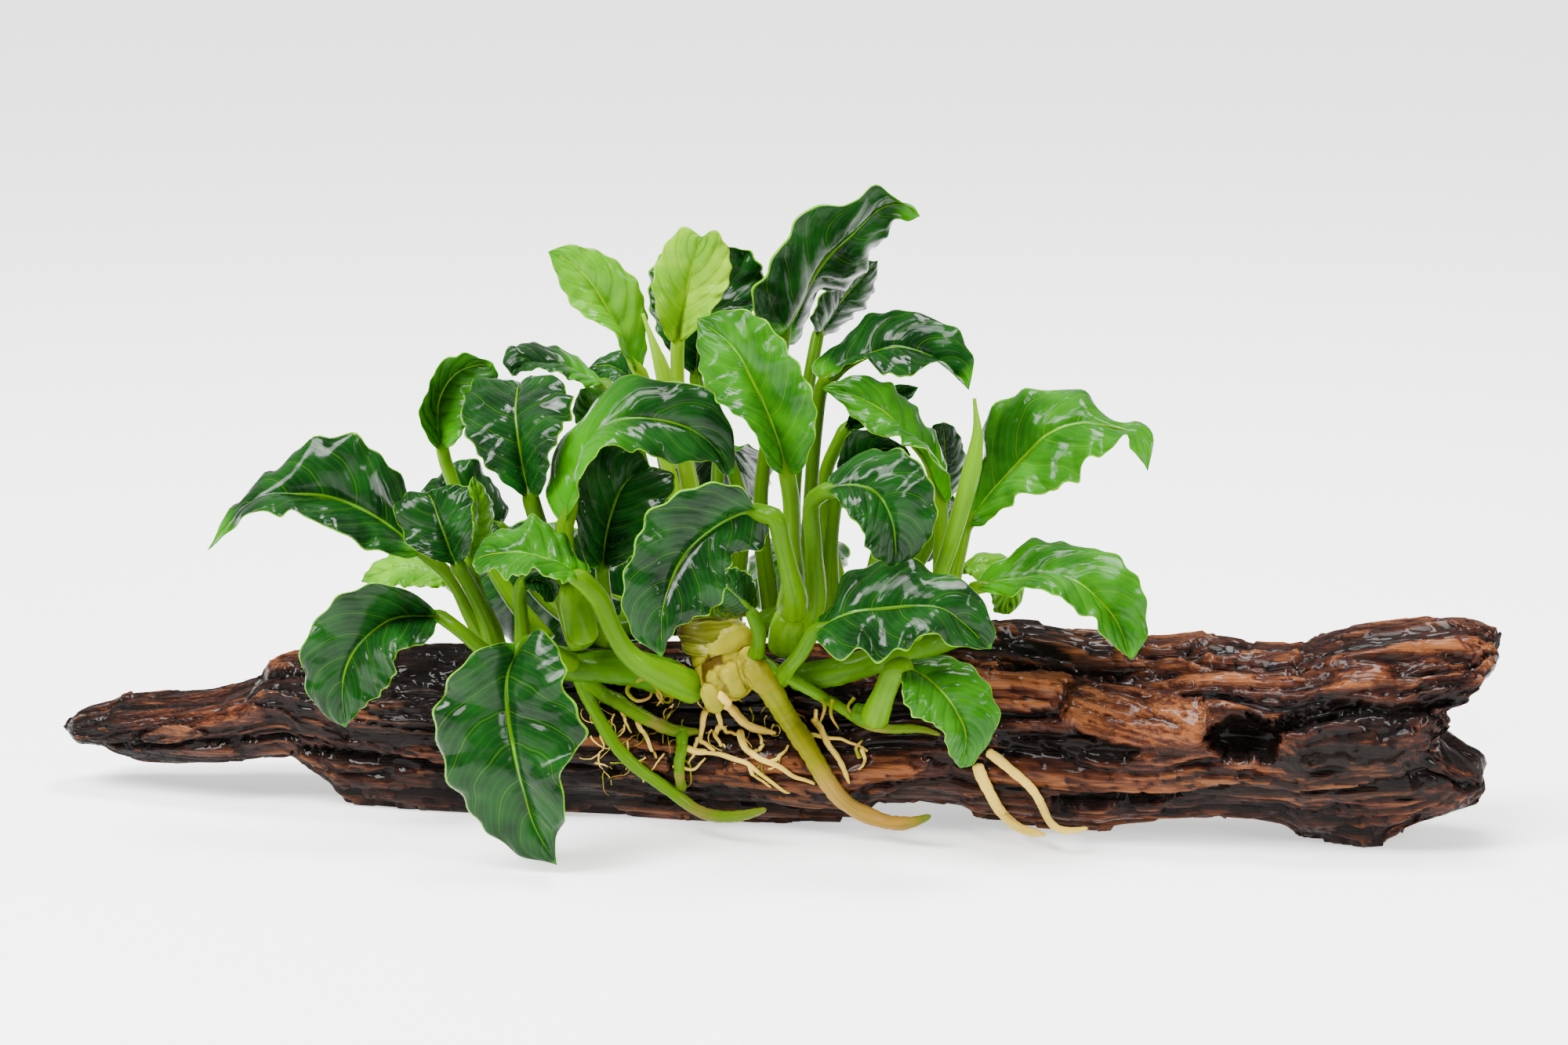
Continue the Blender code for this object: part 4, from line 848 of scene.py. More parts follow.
def node_tree_of(name: str) -> BVHTree:
    """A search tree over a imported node's surface.

    Args:
        name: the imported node's name.

    Returns:
        The search tree.
    """
    work = bmesh.new()
    work.from_mesh(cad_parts[name].data)
    bmesh.ops.remove_doubles(work, verts=work.verts, dist=WELD)
    tree = BVHTree.FromBMesh(work)
    work.free()
    return tree


def misfit(points: Sequence[Vector], tree: BVHTree) -> float:
    """How far some points lie from a surface, on average."""
    return sum(tree.find_nearest(point)[3] for point in points) / len(points)


def pushed_clear(point: Vector, radius: float, trees: Sequence[BVHTree]) -> Vector:
    """Moves a point out until a ball around it is clear of some surfaces.

    Args:
        point: where the ball starts.
        radius: the ball's radius.
        trees: the surfaces.

    Returns:
        The ball's new middle.
    """
    for _ in range(PUSHES):
        moved = False
        for tree in trees:
            place, normal, _, distance = tree.find_nearest(point)
            outside = distance > DEEPEST_INSIDE or (point - place).dot(normal) > 0
            if outside and distance >= radius:
                continue
            away = (point - place).normalized() if outside and distance > 1e-6 else normal
            point = place + away * (radius + CLEARANCE)
            moved = True
        if not moved:
            break
    return point


def on_surface(tree: BVHTree, across: float, down: float) -> tuple[Vector, Vector]:
    """Finds where the line of sight through a place in the view meets a surface.

    Args:
        tree: the surface.
        across: picture units across.
        down: picture units down.

    Returns:
        The point, and the surface's normal there.
    """
    near = VIEW.seen((across, down, NEAR_DEPTH))
    far = VIEW.seen((across, down, 0.0))
    point, normal, _, _ = tree.ray_cast(near, (far - near).normalized())
    return point, normal


def wrapped(
    around: int,
    along: int,
    place: Callable[[float, float], Vector],
    uv: Callable[[float, float], Corner] | None = None,
    skin: Callable[[float, float], int] | None = None,
) -> bmesh.types.BMesh:
    """Wraps a grid into a closed body.

    Args:
        around: how many faces go round it.
        along: how many faces go along it.
        place: gives the point at a part of the way round and a part of the way along. It
            gives the same point at 0 and 1 of the way round.
        uv: gives the texture corner at the same parts, or the parts themselves if left out.
        skin: gives a face's material index at its middle, or 0 if left out.

    Returns:
        The closed body, its normals facing out.
    """
    work = bmesh.new()
    bmesh.ops.create_grid(work, x_segments=around, y_segments=along, size=0.5)
    layer = work.loops.layers.uv.new(UV_NAME)
    for face in work.faces:
        middle = face.calc_center_median()
        face.material_index = skin(middle.x + 0.5, middle.y + 0.5) if skin else 0
        for loop in face.loops:
            part_round = loop.vert.co.x + 0.5
            part_along = loop.vert.co.y + 0.5
            corner = uv(part_round, part_along) if uv else (part_round, part_along)
            loop[layer].uv = corner
    for vertex in work.verts:
        vertex.co = place(vertex.co.x + 0.5, vertex.co.y + 0.5)
    bmesh.ops.remove_doubles(work, verts=work.verts, dist=WELD)
    rims = [edge for edge in work.edges if edge.is_boundary]
    if rims:
        bmesh.ops.holes_fill(work, edges=rims)
    bmesh.ops.recalc_face_normals(work, faces=work.faces[:])
    return work


def tube(
    line: Sequence[Vector],
    radius: Callable[[float, float], float],
    around: int,
    along: int,
    skin: int = 0,
) -> bmesh.types.BMesh:
    """Makes a round stem along a line.

    Args:
        line: the stem's middle line.
        radius: gives the radius at a part of the way round and a part of the way along.
        around: how many faces go round it.
        along: how many faces go along it.
        skin: its faces' material index.

    Returns:
        The closed stem.
    """
    spaced = evenly(line, along + 1)
    frames = []
    side = Vector((0.31, 0.87, 0.38))
    for index, point in enumerate(spaced):
        ahead = spaced[min(index + 1, along)]
        behind = spaced[max(index - 1, 0)]
        run = (ahead - behind).normalized()
        side = (side - run * side.dot(run)).normalized()
        frames.append((point, side, run.cross(side)))

    def place(part_round: float, part_along: float) -> Vector:
        """The point of the stem's skin at the given parts.

        Args:
            part_round: the part of the way round.
            part_along: the part of the way along.

        Returns:
            The point.
        """
        middle, across, above = frames[round(part_along * along)]
        turn = 2 * math.pi * (part_round % 1.0)
        reach = radius(part_round % 1.0, part_along)
        return middle + (across * math.cos(turn) + above * math.sin(turn)) * reach

    return wrapped(around, along, place, skin=lambda *_: skin)


def joined(parts: Sequence[bmesh.types.BMesh]) -> bmesh.types.BMesh:
    """Puts several bodies in one mesh, and frees them.

    Args:
        parts: the bodies.

    Returns:
        The one mesh.
    """
    whole = bmesh.new()
    for work in parts:
        mesh = bpy.data.meshes.new("part")
        work.to_mesh(mesh)
        whole.from_mesh(mesh)
        work.free()
        bpy.data.meshes.remove(mesh)
    return whole


def placed(name: str, data: bpy.types.ID) -> bpy.types.Object:
    """Puts an object with some data in the scene.

    Args:
        name: the object's name.
        data: its mesh, camera or lamp.

    Returns:
        The object.
    """
    made = bpy.data.objects.new(name, data)
    bpy.context.scene.collection.objects.link(made)
    return made


def add_piece(
    name: str,
    work: bmesh.types.BMesh,
    materials: Sequence[bpy.types.Material],
    replaced: Sequence[str] = (),
) -> bpy.types.Object:
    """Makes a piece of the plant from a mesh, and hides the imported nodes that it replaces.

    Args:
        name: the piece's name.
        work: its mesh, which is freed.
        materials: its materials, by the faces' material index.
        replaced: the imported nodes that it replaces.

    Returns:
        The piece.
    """
    mesh = bpy.data.meshes.new(name)
    work.to_mesh(mesh)
    work.free()
    mesh.shade_smooth()
    for material in materials:
        mesh.materials.append(material)
    piece = placed(name, mesh)
    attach(piece, BODY)
    if replaced:
        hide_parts(*replaced)
    LOG.info("%s: %d faces", name, len(mesh.polygons))
    return piece


def linear(colour: str) -> tuple[float, float, float, float]:
    """Turns an sRGB hex colour to linear light.

    Args:
        colour: six hex digits after a hash.

    Returns:
        Red, green, blue and full opacity.
    """
    parts = [int(colour[start:start + 2], 16) / 255 for start in (1, 3, 5)]
    lit = [part / 12.92 if part <= 0.04045 else ((part + 0.055) / 1.055) ** 2.4 for part in parts]
    return (lit[0], lit[1], lit[2], 1.0)


def fill(tree: bpy.types.NodeTree, node: bpy.types.Node, inputs: Inputs) -> None:
    """Sets or links a node's inputs.

    Args:
        tree: the material's nodes.
        node: the node that the inputs belong to.
        inputs: what each input is linked to, or holds. A node stands for the first of its
            outputs that is in use, and a text for an sRGB hex colour.
    """
    for name, value in inputs.items():
        if isinstance(value, bpy.types.Node):
            value = next(output for output in value.outputs if output.enabled)
        if isinstance(value, bpy.types.NodeSocket):
            tree.links.new(value, node.inputs[name])
        else:
            node.inputs[name].default_value = linear(value) if isinstance(value, str) else value


def add_node(
    tree: bpy.types.NodeTree, kind: str, inputs: Inputs | None = None, **settings: object
) -> bpy.types.Node:
    """Adds a shader node with its settings and links.

    Args:
        tree: the material's nodes.
        kind: the node's type.
        inputs: what each input is linked to, or the value that it holds.
        settings: the node's own properties.

    Returns:
        The node.
    """
    made = tree.nodes.new("ShaderNode" + kind)
    for name, value in settings.items():
        setattr(made, name, value)
    fill(tree, made, inputs or {})
    return made


def new_material(name: str) -> tuple[bpy.types.Material, bpy.types.NodeTree, bpy.types.Node]:
    """Starts a material, and gives it with its nodes and its shader.

    Args:
        name: the material's name.

    Returns:
        The material, its nodes and its shader.
    """
    material = bpy.data.materials.new(name)
    material.use_nodes = True
    tree = material.node_tree
    return material, tree, tree.nodes["Principled BSDF"]


def set_ramp(ramp: bpy.types.Node, stops: Sequence[tuple[float, str]]) -> None:
    """Sets a colour ramp's stops from places and hex colours.

    Args:
        ramp: the colour ramp's node.
        stops: each stop's place and hex colour.
    """
    elements = ramp.color_ramp.elements
    while len(elements) < len(stops):
        elements.new(0.5)
    for element, (place, colour) in zip(elements, stops):
        element.position = place
        element.color = linear(colour)


@dataclass(frozen=True)
class LeafSkin:
    """The waxy skin of a leaf, wet from the tank: smooth cells over a net of sunken veins.

    The wax and the film of water give sharp, pale highlights on a deep green.
    """

    name: str
    deep: str
    face: str
    vein: str
    # The pale rim along the margin: partly the thin edge's own lighter green, partly a painted highlight
    # where light catches the edge
    margin: str
    roughness: float = 0.22
    gloss: float = 1.0
    young: str = "#2f7400"
    side_veins: float = 7.0
    vein_width: float = 0.045
    fine_vein_width: float = 0.22
    vein_share: float = 0.15
    fine_vein_share: float = 0.035
    sweep: float = 0.26
    wander: float = 0.07
    mottle_size: float = 9 * MM
    grain_size: float = 0.9 * MM
    puff_size: float = 5 * MM

    def build(self) -> bpy.types.Material:
        """Makes the material.

        Returns:
            The material.
        """
        material, tree, shader = new_material(self.name)
        add = partial(add_node, tree)
        across, along = add("SeparateXYZ", {0: add("UVMap", uv_map=UV_NAME)}).outputs[:2]
        place = add("TexCoord").outputs["Object"]
        twice = add("Math", {0: across, 1: 2.0, 2: -1.0}, operation="MULTIPLY_ADD")
        from_rib = add("Math", {0: twice}, operation="ABSOLUTE")
        bend = add("Math", {0: from_rib, 1: 1.35}, operation="POWER")
        swept = add("Math", {0: bend, 1: -self.sweep, 2: along}, operation="MULTIPLY_ADD")
        drift = add("TexNoise", {"Vector": place, "Scale": 90.0, "Detail": 2.0})
        swept = add("Math", {0: drift, 1: self.wander, 2: swept}, operation="MULTIPLY_ADD")
        masks = []
        swells = []
        rows = ((self.side_veins, self.vein_width), (self.side_veins * 4, self.fine_vein_width))
        for count, width in rows:
            row = add("Math", {0: swept, 1: count}, operation="MULTIPLY")
            part = add("Math", {0: row}, operation="FRACT")
            off = add("Math", {0: part, 1: 0.5}, operation="SUBTRACT")
            off = add("Math", {0: off}, operation="ABSOLUTE")
            masks.append(add("MapRange", {0: off, 1: 0.0, 2: width, 3: 1.0, 4: 0.0}, **SMOOTH))
            swells.append(add("MapRange", {0: off, 1: 0.0, 2: 0.4}, **SMOOTH))
        left_over = add("Math", {0: 1.1, 1: along}, operation="SUBTRACT")
        thinned = add("Math", {0: from_rib, 1: left_over}, operation="DIVIDE")
        rib = add("MapRange", {0: thinned, 1: 0.010, 2: 0.048, 3: 1.0, 4: 0.0}, **SMOOTH)
        # The rim along the margin, partly the edge's own green and partly a painted highlight
        edge = add("MapRange", {0: from_rib, 1: 0.962, 2: 0.988, 3: 0.0, 4: 1.0}, **SMOOTH)
        mottle = add("TexNoise", {"Vector": place, "Scale": 1.0 / self.mottle_size, "Detail": 3.0})
        mottle = add("MapRange", {0: mottle, 1: 0.35, 2: 0.68})
        colour = add("Mix", {0: mottle, 6: self.deep, 7: self.face}, data_type="RGBA")
        for mask, share, tone in (
            (add("Attribute", attribute_name=PALE_NAME).outputs["Fac"], 0.85, self.young),
            (masks[1], self.fine_vein_share, self.vein),
            (masks[0], self.vein_share, self.vein),
            (rib, 0.75, self.vein),
            (edge, 0.9, self.margin),
        ):
            part = add("Math", {0: mask, 1: share}, operation="MULTIPLY")
            colour = add("Mix", {0: part, 6: colour, 7: tone}, data_type="RGBA")
        grain = add("TexNoise", {"Vector": place, "Scale": 1.0 / self.grain_size, "Detail": 2.0})
        puff = add("TexNoise", {"Vector": place, "Scale": 1.0 / self.puff_size, "Detail": 1.0})
        height = 0.0
        for share, source in ((0.3, grain), (3.0, swells[0]), (0.25, swells[1]), (4.0, puff)):
            height = add("Math", {0: source, 1: share, 2: height}, operation="MULTIPLY_ADD")
        dry, wet = self.roughness * 1.5, self.roughness * 0.6
        fill(tree, shader, {
            "Base Color": colour,
            "Normal": add("Bump", {"Strength": 0.5, "Distance": 0.25 * MM, "Height": height}),
            "Roughness": add("MapRange", {0: mottle, 1: 0.0, 2: 1.0, 3: wet, 4: dry}),
            "IOR": 1.33,
            "Specular IOR Level": 0.11,
            "Coat Weight": 0.17 * self.gloss,
            "Coat Roughness": 0.11,
            "Coat IOR": 1.33,
            "Subsurface Weight": 0.06,
            "Subsurface Radius": (0.4, 1.0, 0.05),
            "Subsurface Scale": 0.8 * MM,
        })
        return material


@dataclass(frozen=True)
class StemSkin:
    """The smooth rind of a stalk, stem or root: firm wet tissue, streaked along its length.

    The streaks and the thin film of water give it soft, narrow highlights along its side.
    """

    name: str
    tones: tuple[tuple[float, str], ...]
    streak: str
    roughness: float = 0.3
    streaks: float = 14.0
    spot_size: float = 2.5 * MM
    scar: str = "#2a1404"
    fray: float = 0.3

    def build(self) -> bpy.types.Material:
        """Makes the material.

        Returns:
            The material.
        """
        material, tree, shader = new_material(self.name)
        add = partial(add_node, tree)
        across, along = add("SeparateXYZ", {0: add("UVMap", uv_map=UV_NAME)}).outputs[:2]
        place = add("TexCoord").outputs["Object"]
        spots = add("TexNoise", {"Vector": place, "Scale": 1.0 / self.spot_size, "Detail": 4.0})
        shifted = add("Math", {0: spots, 1: self.fray, 2: along}, operation="MULTIPLY_ADD")
        shifted = add("Math", {0: shifted, 1: self.fray / 2}, operation="SUBTRACT")
        tones = add("ValToRGB", {0: shifted})
        set_ramp(tones, self.tones)
        fibre = add("CombineXYZ", {0: across, 1: along})
        fibre = add("Mapping", {0: fibre, "Scale": (self.streaks, 2.5, 1.0)})
        lines = add("TexNoise", {"Vector": fibre, "Scale": 1.0})
        share = add("MapRange", {0: lines, 1: 0.45, 2: 0.75, 4: 0.55})
        colour = add("Mix", {0: share, 6: tones, 7: self.streak}, data_type="RGBA")
        # On the crown this mark is brown scars, and the painted shade where its lobes meet
        marks = add("Attribute", attribute_name=CHAR_AND_SHADE_NAME).outputs["Fac"]
        frayed = add("Math", {0: marks, 1: spots}, operation="MULTIPLY")
        scarred = add("MapRange", {0: frayed, 1: 0.15, 2: 0.45, 4: 0.9})
        dry, wet = self.roughness * 1.5, self.roughness * 0.7
        fill(tree, shader, {
            "Base Color": add("Mix", {0: scarred, 6: colour, 7: self.scar}, data_type="RGBA"),
            "Normal": add("Bump", {"Strength": 0.3, "Distance": 0.3 * MM, "Height": spots}),
            "Roughness": add("MapRange", {0: spots, 1: 0.2, 2: 0.8, 3: wet, 4: dry}),
            "IOR": 1.36,
            "Specular IOR Level": 0.06,
            "Coat Weight": 0.045,
            "Coat Roughness": 0.08,
            "Subsurface Weight": 0.05,
            "Subsurface Radius": (0.6, 1.0, 0.05),
            "Subsurface Scale": 1.2 * MM,
        })
        return material


@dataclass(frozen=True)
class SoakedWood:
    """Soaked bog wood: red-brown and orange on the worn ridges, black-brown where charred.

    Its cracks, sunken hollows and knot hole are blackened by painted shade.

    Water stands in the grain, so the ridges carry small wet highlights.
    """

    name: str = "soaked_driftwood"
    crack: str = "#020101"
    shade: str = "#0b0403"
    body: str = "#260e06"
    ridge: str = "#421f0f"
    worn: str = "#724222"
    soot_and_shade: str = "#0b0503"
    bare: str = "#5a271a"
    fibre: Corner = (18 * MM, 0.8 * MM)
    thread: Corner = (6 * MM, 0.28 * MM)

    def build(self) -> bpy.types.Material:
        """Makes the material.

        Returns:
            The material.
        """
        material, tree, shader = new_material(self.name)
        add = partial(add_node, tree)
        shift = add("Attribute", attribute_name=GRAIN_NAME).outputs["Fac"]
        shift = add("CombineXYZ", {2: shift})
        place = add("TexCoord").outputs["Object"]
        place = add("VectorMath", {0: place, 1: shift}, operation="ADD")
        # Depth of the grain below the surface; the tones below darken deep places as painted shade
        hollow = add("Attribute", attribute_name=HOLLOW_NAME).outputs["Fac"]
        # Char, together with painted shade where the forms are sunken and in the knot hole
        char = add("Attribute", attribute_name=CHAR_AND_SHADE_NAME).outputs["Fac"]
        grains = []
        for length, width in (self.fibre, self.thread):
            drawn = add("Mapping", {0: place, "Scale": (1 / length, 1 / width, 1 / width)})
            look = {"Vector": drawn, "Scale": 1.0, "Detail": 3.0, "Distortion": 0.4}
            grains.append(add("TexNoise", look))
        fibres, threads = grains
        broad = add("TexNoise", {"Vector": place, "Scale": 70.0, "Detail": 5.0})
        height = add("Math", {0: fibres, 1: 0.75, 2: hollow}, operation="MULTIPLY_ADD")
        height = add("Math", {0: threads, 1: 0.35, 2: height}, operation="MULTIPLY_ADD")
        lifted = add("MapRange", {0: height, 1: 0.62, 2: 1.42})
        tones = add("ValToRGB", {0: lifted})
        # Darker with depth: the crack and shade tones are painted shade down in the grain, the worn tone
        # lighter wood on the raised ridges
        set_ramp(tones, (
            (0.0, self.crack), (0.22, self.shade), (0.50, self.body), (0.72, self.ridge),
            (1.0, self.worn),
        ))
        bared = add("MapRange", {0: char, 1: -0.1, 2: -0.9, 3: 0.0, 4: 0.55})
        reds = add("Mix", {0: bared, 6: tones, 7: self.bare}, data_type="RGBA")
        # Darkens towards the soot tone where the mark is high: char, and painted shade in crevices
        blotch = add("Math", {0: broad, 1: 0.7, 2: char}, operation="MULTIPLY_ADD")
        veil = add("MapRange", {0: blotch, 1: 0.25, 2: 1.15, 3: 0.0, 4: 0.95})
        shine_through = add("MapRange", {0: lifted, 1: 0.62, 2: 0.95, 3: 1.0, 4: 0.45})
        veil = add("Math", {0: veil, 1: shine_through}, operation="MULTIPLY")
        relief = add("Math", {0: threads, 1: 0.5, 2: fibres}, operation="MULTIPLY_ADD")
        fill(tree, shader, {
            "Base Color": add("Mix", {0: veil, 6: reds, 7: self.soot_and_shade}, data_type="RGBA"),
            "Normal": add("Bump", {"Strength": 1.0, "Distance": 0.9 * MM, "Height": relief}),
            "Roughness": add("MapRange", {0: broad, 1: 0.35, 2: 0.62, 3: 0.18, 4: 0.5}),
            "IOR": 1.42,
            "Specular IOR Level": 0.08,
            "Coat Weight": 0.11,
            "Coat Roughness": 0.06,
        })
        return material


@dataclass(frozen=True)
class StudioPaper:
    """The pale seamless paper under the plant: matt, and lit a little from below.

    Its fibres scatter the light, so it shows no highlight and only soft shadows.
    """

    name: str = "studio_paper"
    tone: str = "#fbfbfa"
    glow: float = 0.9

    def build(self) -> bpy.types.Material:
        """Makes the material.

        Returns:
            The material.
        """
        material, tree, shader = new_material(self.name)
        fill(tree, shader, {
            "Base Color": self.tone,
            "Roughness": 0.9,
            "Emission Color": self.tone,
            "Emission Strength": self.glow,
        })
        return material


# The finishes of blades from above, of blades from below, and of stalks
LEAF_SKINS = {
    Shade.DARK: LeafSkin("dark_leaf_skin", "#061e09", "#0f380e", "#54880c", "#68a404", 0.15, 1.4),
    Shade.MIDDLE: LeafSkin("middle_leaf_skin", "#16440a", "#2a640c", "#6ca010", "#70b004", 0.16),
    Shade.BRIGHT: LeafSkin("bright_leaf_skin", "#346e02", "#5a9604", "#84b818", "#84c004", 0.2),
    Shade.YOUNG: LeafSkin("young_leaf_skin", "#528600", "#80a800", "#98bc04", "#84b400", 0.3, 0.6),
}
LEAF_BACKS = {
    Shade.DARK: LeafSkin("dark_leaf_back", "#164802", "#285e02", "#58900c", "#5c9c06", 0.38, 0.4),
    Shade.MIDDLE: LeafSkin("middle_leaf_back", "#245c02", "#387402", "#6c9c10", "#68a404", 0.38, 0.4),
    Shade.BRIGHT: LeafSkin("bright_leaf_back", "#306c02", "#488803", "#7cac14", "#74b006", 0.38, 0.4),
    Shade.YOUNG: LeafSkin("young_leaf_back", "#447a00", "#5c9002", "#90b010", "#84ac06", 0.38, 0.4),
}
STALKS = {
    Shade.DARK: StemSkin(
        "dark_leaf_stalk", ((0.0, "#486e00"), (0.4, "#365a00"), (0.9, "#3e6600")), "#1a3e00"
    ),
    Shade.MIDDLE: StemSkin(
        "middle_leaf_stalk", ((0.0, "#4e7600"), (0.4, "#446a00"), (0.9, "#507800")), "#284c00"
    ),
    Shade.BRIGHT: StemSkin(
        "bright_leaf_stalk", ((0.0, "#547e00"), (0.4, "#467200"), (0.9, "#588400")), "#2e5c00"
    ),
    Shade.YOUNG: StemSkin(
        "young_leaf_stalk", ((0.0, "#6c9002"), (0.4, "#648a02"), (0.9, "#749c04")), "#406802"
    ),
}

# The rinds of stems and roots, the cork of the crown, and its papery husk
RINDS = {
    Rind.RHIZOME: StemSkin(
        "rhizome_rind", ((0.0, "#345802"), (0.5, "#3c6402"), (1.0, "#305602")), "#143402", 0.26
    ),
    Rind.SCARRED: StemSkin(
        "scarred_rhizome_rind",
        ((0.0, "#305402"), (0.90, "#345c02"), (0.95, "#745018"), (1.0, "#8c5c1c")),
        "#143402", 0.26, fray=0.08,
    ),
    Rind.CROWN: StemSkin(
        "crown_cork", ((0.0, "#7a6a12"), (0.3, "#867e1c"), (0.9, "#6c6a10")),
        "#5a500c", 0.34, 9.0, 1.6 * MM,
    ),
    Rind.HUSK: StemSkin(
        "papery_husk", ((0.1, "#261c04"), (0.35, "#3c3e08"), (0.7, "#545810"), (0.95, "#a09858")),
        "#1e1a06", 0.45, 16.0,
    ),
    Rind.ROOT: StemSkin(
        "young_root_rind",
        ((0.0, "#7c7216"), (0.2, "#666c0a"), (0.50, "#746e10"), (0.56, "#8c6e2c"),
         (0.88, "#846022"), (0.97, "#48500c")),
        "#30480a", 0.28, fray=0.1,
    ),
    Rind.GREEN_ROOT: StemSkin(
        "green_root_rind",
        ((0.0, "#406a04"), (0.60, "#4e7006"), (0.70, "#70682a"), (0.80, "#4a640a"),
         (1.0, "#4e5410")),
        "#2a4604", 0.28, fray=0.15,
    ),
    Rind.OLD_ROOT: StemSkin(
        "old_root_rind", ((0.0, "#d0b04c"), (0.5, "#d8b850"), (1.0, "#b89838")),
        "#8c7220", 0.4, 8.0, 1.5 * MM,
    ),
}


@dataclass
class Materials:
    """Every finish of the plant, each made once."""

    skins: dict[Shade, bpy.types.Material] = field(default_factory=dict)
    backs: dict[Shade, bpy.types.Material] = field(default_factory=dict)
    stalks: dict[Shade, bpy.types.Material] = field(default_factory=dict)
    rinds: dict[Rind, bpy.types.Material] = field(default_factory=dict)
    wood: bpy.types.Material | None = None

    def build(self) -> None:
        """Makes the materials."""
        for shade in Shade:
            self.skins[shade] = LEAF_SKINS[shade].build()
            self.backs[shade] = LEAF_BACKS[shade].build()
            self.stalks[shade] = STALKS[shade].build()
        self.wood = SoakedWood().build()
        for rind, skin in RINDS.items():
            self.rinds[rind] = skin.build()


@dataclass
class LeafPiece:
    """One leaf: a wavy blade on its stalk, grown in one piece.

    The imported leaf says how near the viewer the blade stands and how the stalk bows.
    """

    name: str
    form: Leaf
    materials: Materials
    coarse_rows: int = 10
    rows: int = 64
    around: int = 80
    stalk_round: int = 12
    stalk_along: int = 56
    foot_share: float = 0.6
    rib_radius: float = 0.75 * MM
    half_thickness: float = 0.24 * MM
    ruffle: float = 1.3 * MM
    scallop: float = 0.5 * MM
    crown: float = 0.10
    side_veins: float = 9.0
    waves: Corner = (4.2, 6.4)
    slow_wave: float = 0.5 * MM
    groove: float = 0.35 * MM
    groove_width: float = 0.07
    quilt: float = 0.18 * MM
    thinnest: float = 0.12 * MM
    nearer: float = 0.0
    bow: float = 0.0

    def rib_line(self, rows: int, nearer: float) -> list[Vector]:
        """The blade's middle line from base to tip, in view millimetres.

        Args:
            rows: how many points it has.
            nearer: by how many millimetres it stands nearer the viewer.

        Returns:
            The line.
        """
        places = [to_millimetres(place) for place in self.form.rib]
        line = evenly(smooth_through(places), rows)
        return [place - Vector((0.0, 0.0, nearer)) for place in line]

    def margin_line(self, rib: Sequence[Vector], is_left: bool) -> list[Vector]:
        """Finds one margin of the blade, in view millimetres.

        Args:
            rib: the blade's middle line, a point for each row.
            is_left: whether it is the left margin.

        Returns:
            The margin from base to tip.
        """
        margin = self.form.left if is_left else self.form.right
        lean = self.form.lean[0 if is_left else 1]
        ends = (self.form.rib[0][:2], self.form.rib[-1][:2])
        curve = smooth_through([to_millimetres(place) for place in (ends[0], *margin, ends[1])])
        line = evenly(curve, self.rows)
        flat_rib = evenly(list(rib), self.coarse_rows)
        coarse = evenly(curve, self.coarse_rows)
        hidden = []
        for row, place in enumerate(coarse):
            seen_width = (place.xy - flat_rib[row].xy).length
            share = row / (self.coarse_rows - 1)
            real_width = self.form.half_width * math.sin(math.pi * share ** 0.72) ** 0.75
            hidden.append(math.sqrt(max(real_width ** 2 - seen_width ** 2, 0.0)))
        inner = hidden[:]
        for row in range(1, self.coarse_rows - 1):
            inner[row] = (hidden[row - 1] + 2 * hidden[row] + hidden[row + 1]) / 4
        for row, place in enumerate(line):
            place.z = rib[row].z + lean * value_along(inner, row / (self.rows - 1))
        return line

    def stalk_line(self, nearer: float, bow: float) -> list[Vector]:
        """The stalk's middle line from foot to blade, for a place of the blade and a bow.

        Args:
            nearer: by how many millimetres its top stands nearer the viewer.
            bow: by how many millimetres its middle is bowed nearer.

        Returns:
            The line, in metres.
        """
        places = [to_millimetres(place) for place in (*self.form.stalk, self.form.rib[0])]
        line = smooth_through(places)
        last = len(line) - 1
        for index, place in enumerate(line):
            part = index / last
            place.z -= nearer * part + bow * math.sin(math.pi * part)
        return [to_point(place) for place in line]

    def settle(self) -> None:
        """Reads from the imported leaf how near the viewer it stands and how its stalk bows."""
        tree = node_tree_of(self.name)

        def rib_misfit(nearer: int) -> float:
            """How badly the blade's rib fits at a place."""
            line = self.rib_line(self.coarse_rows, nearer)
            return misfit([to_point(place) for place in line], tree)

        def stalk_misfit(bow: int) -> float:
            """How badly the stalk fits with a bow."""
            line = self.stalk_line(self.nearer, bow)
            return misfit(line[len(line) // 2:], tree)

        self.nearer = min(NEARER_TRIED, key=rib_misfit)
        self.bow = min(BOWS_TRIED, key=stalk_misfit)

    def rows_of_blade(self) -> list[tuple[Vector, Vector, Vector, Vector]]:
        """The blade's left, rib, right and top at each row.

        Returns:
            For each row its two margins, its rib, and the way that its top faces.
        """
        rib_flat = self.rib_line(self.rows, self.nearer)
        left = [to_point(place) for place in self.margin_line(rib_flat, True)]
        right = [to_point(place) for place in self.margin_line(rib_flat, False)]
        rib = [to_point(place) for place in rib_flat]
        tops = []
        for row in range(self.rows):
            near = min(max(row, 4), self.rows - 5)
            side = (right[near] - left[near]).normalized()
            run = rib[near + 3] - rib[near - 3]
            tops.append(side.cross(run).normalized())
        boldest = max(tops, key=lambda top: abs(top.dot(VIEW.back)))
        if boldest.dot(VIEW.back) * self.form.faces < 0:
            left, right = right, left
            tops = [-top for top in tops]
        return list(zip(left, rib, right, tops))

    def blade(self, lines: Sequence[tuple], rng: random.Random) -> bmesh.types.BMesh:
        """Makes the blade, with its ruffled margins and sunken rib.

        Args:
            lines: the blade's left, rib, right and top at each row.
            rng: where its waves come from.

        Returns:
            The closed blade.
        """
        waves = [rng.uniform(*self.waves) for _ in range(2)]
        phases = [rng.uniform(0, 2 * math.pi) for _ in range(6)]
        small = min(self.form.half_width / 13, 1.0) ** 1.8

        def across_at(part_round: float) -> float:
            """How far across the blade a part of the way round is, from -1 to 1."""
            turned = part_round * 2.0
            return 2 * turned - 1 if turned <= 1.0 else 3 - 2 * turned

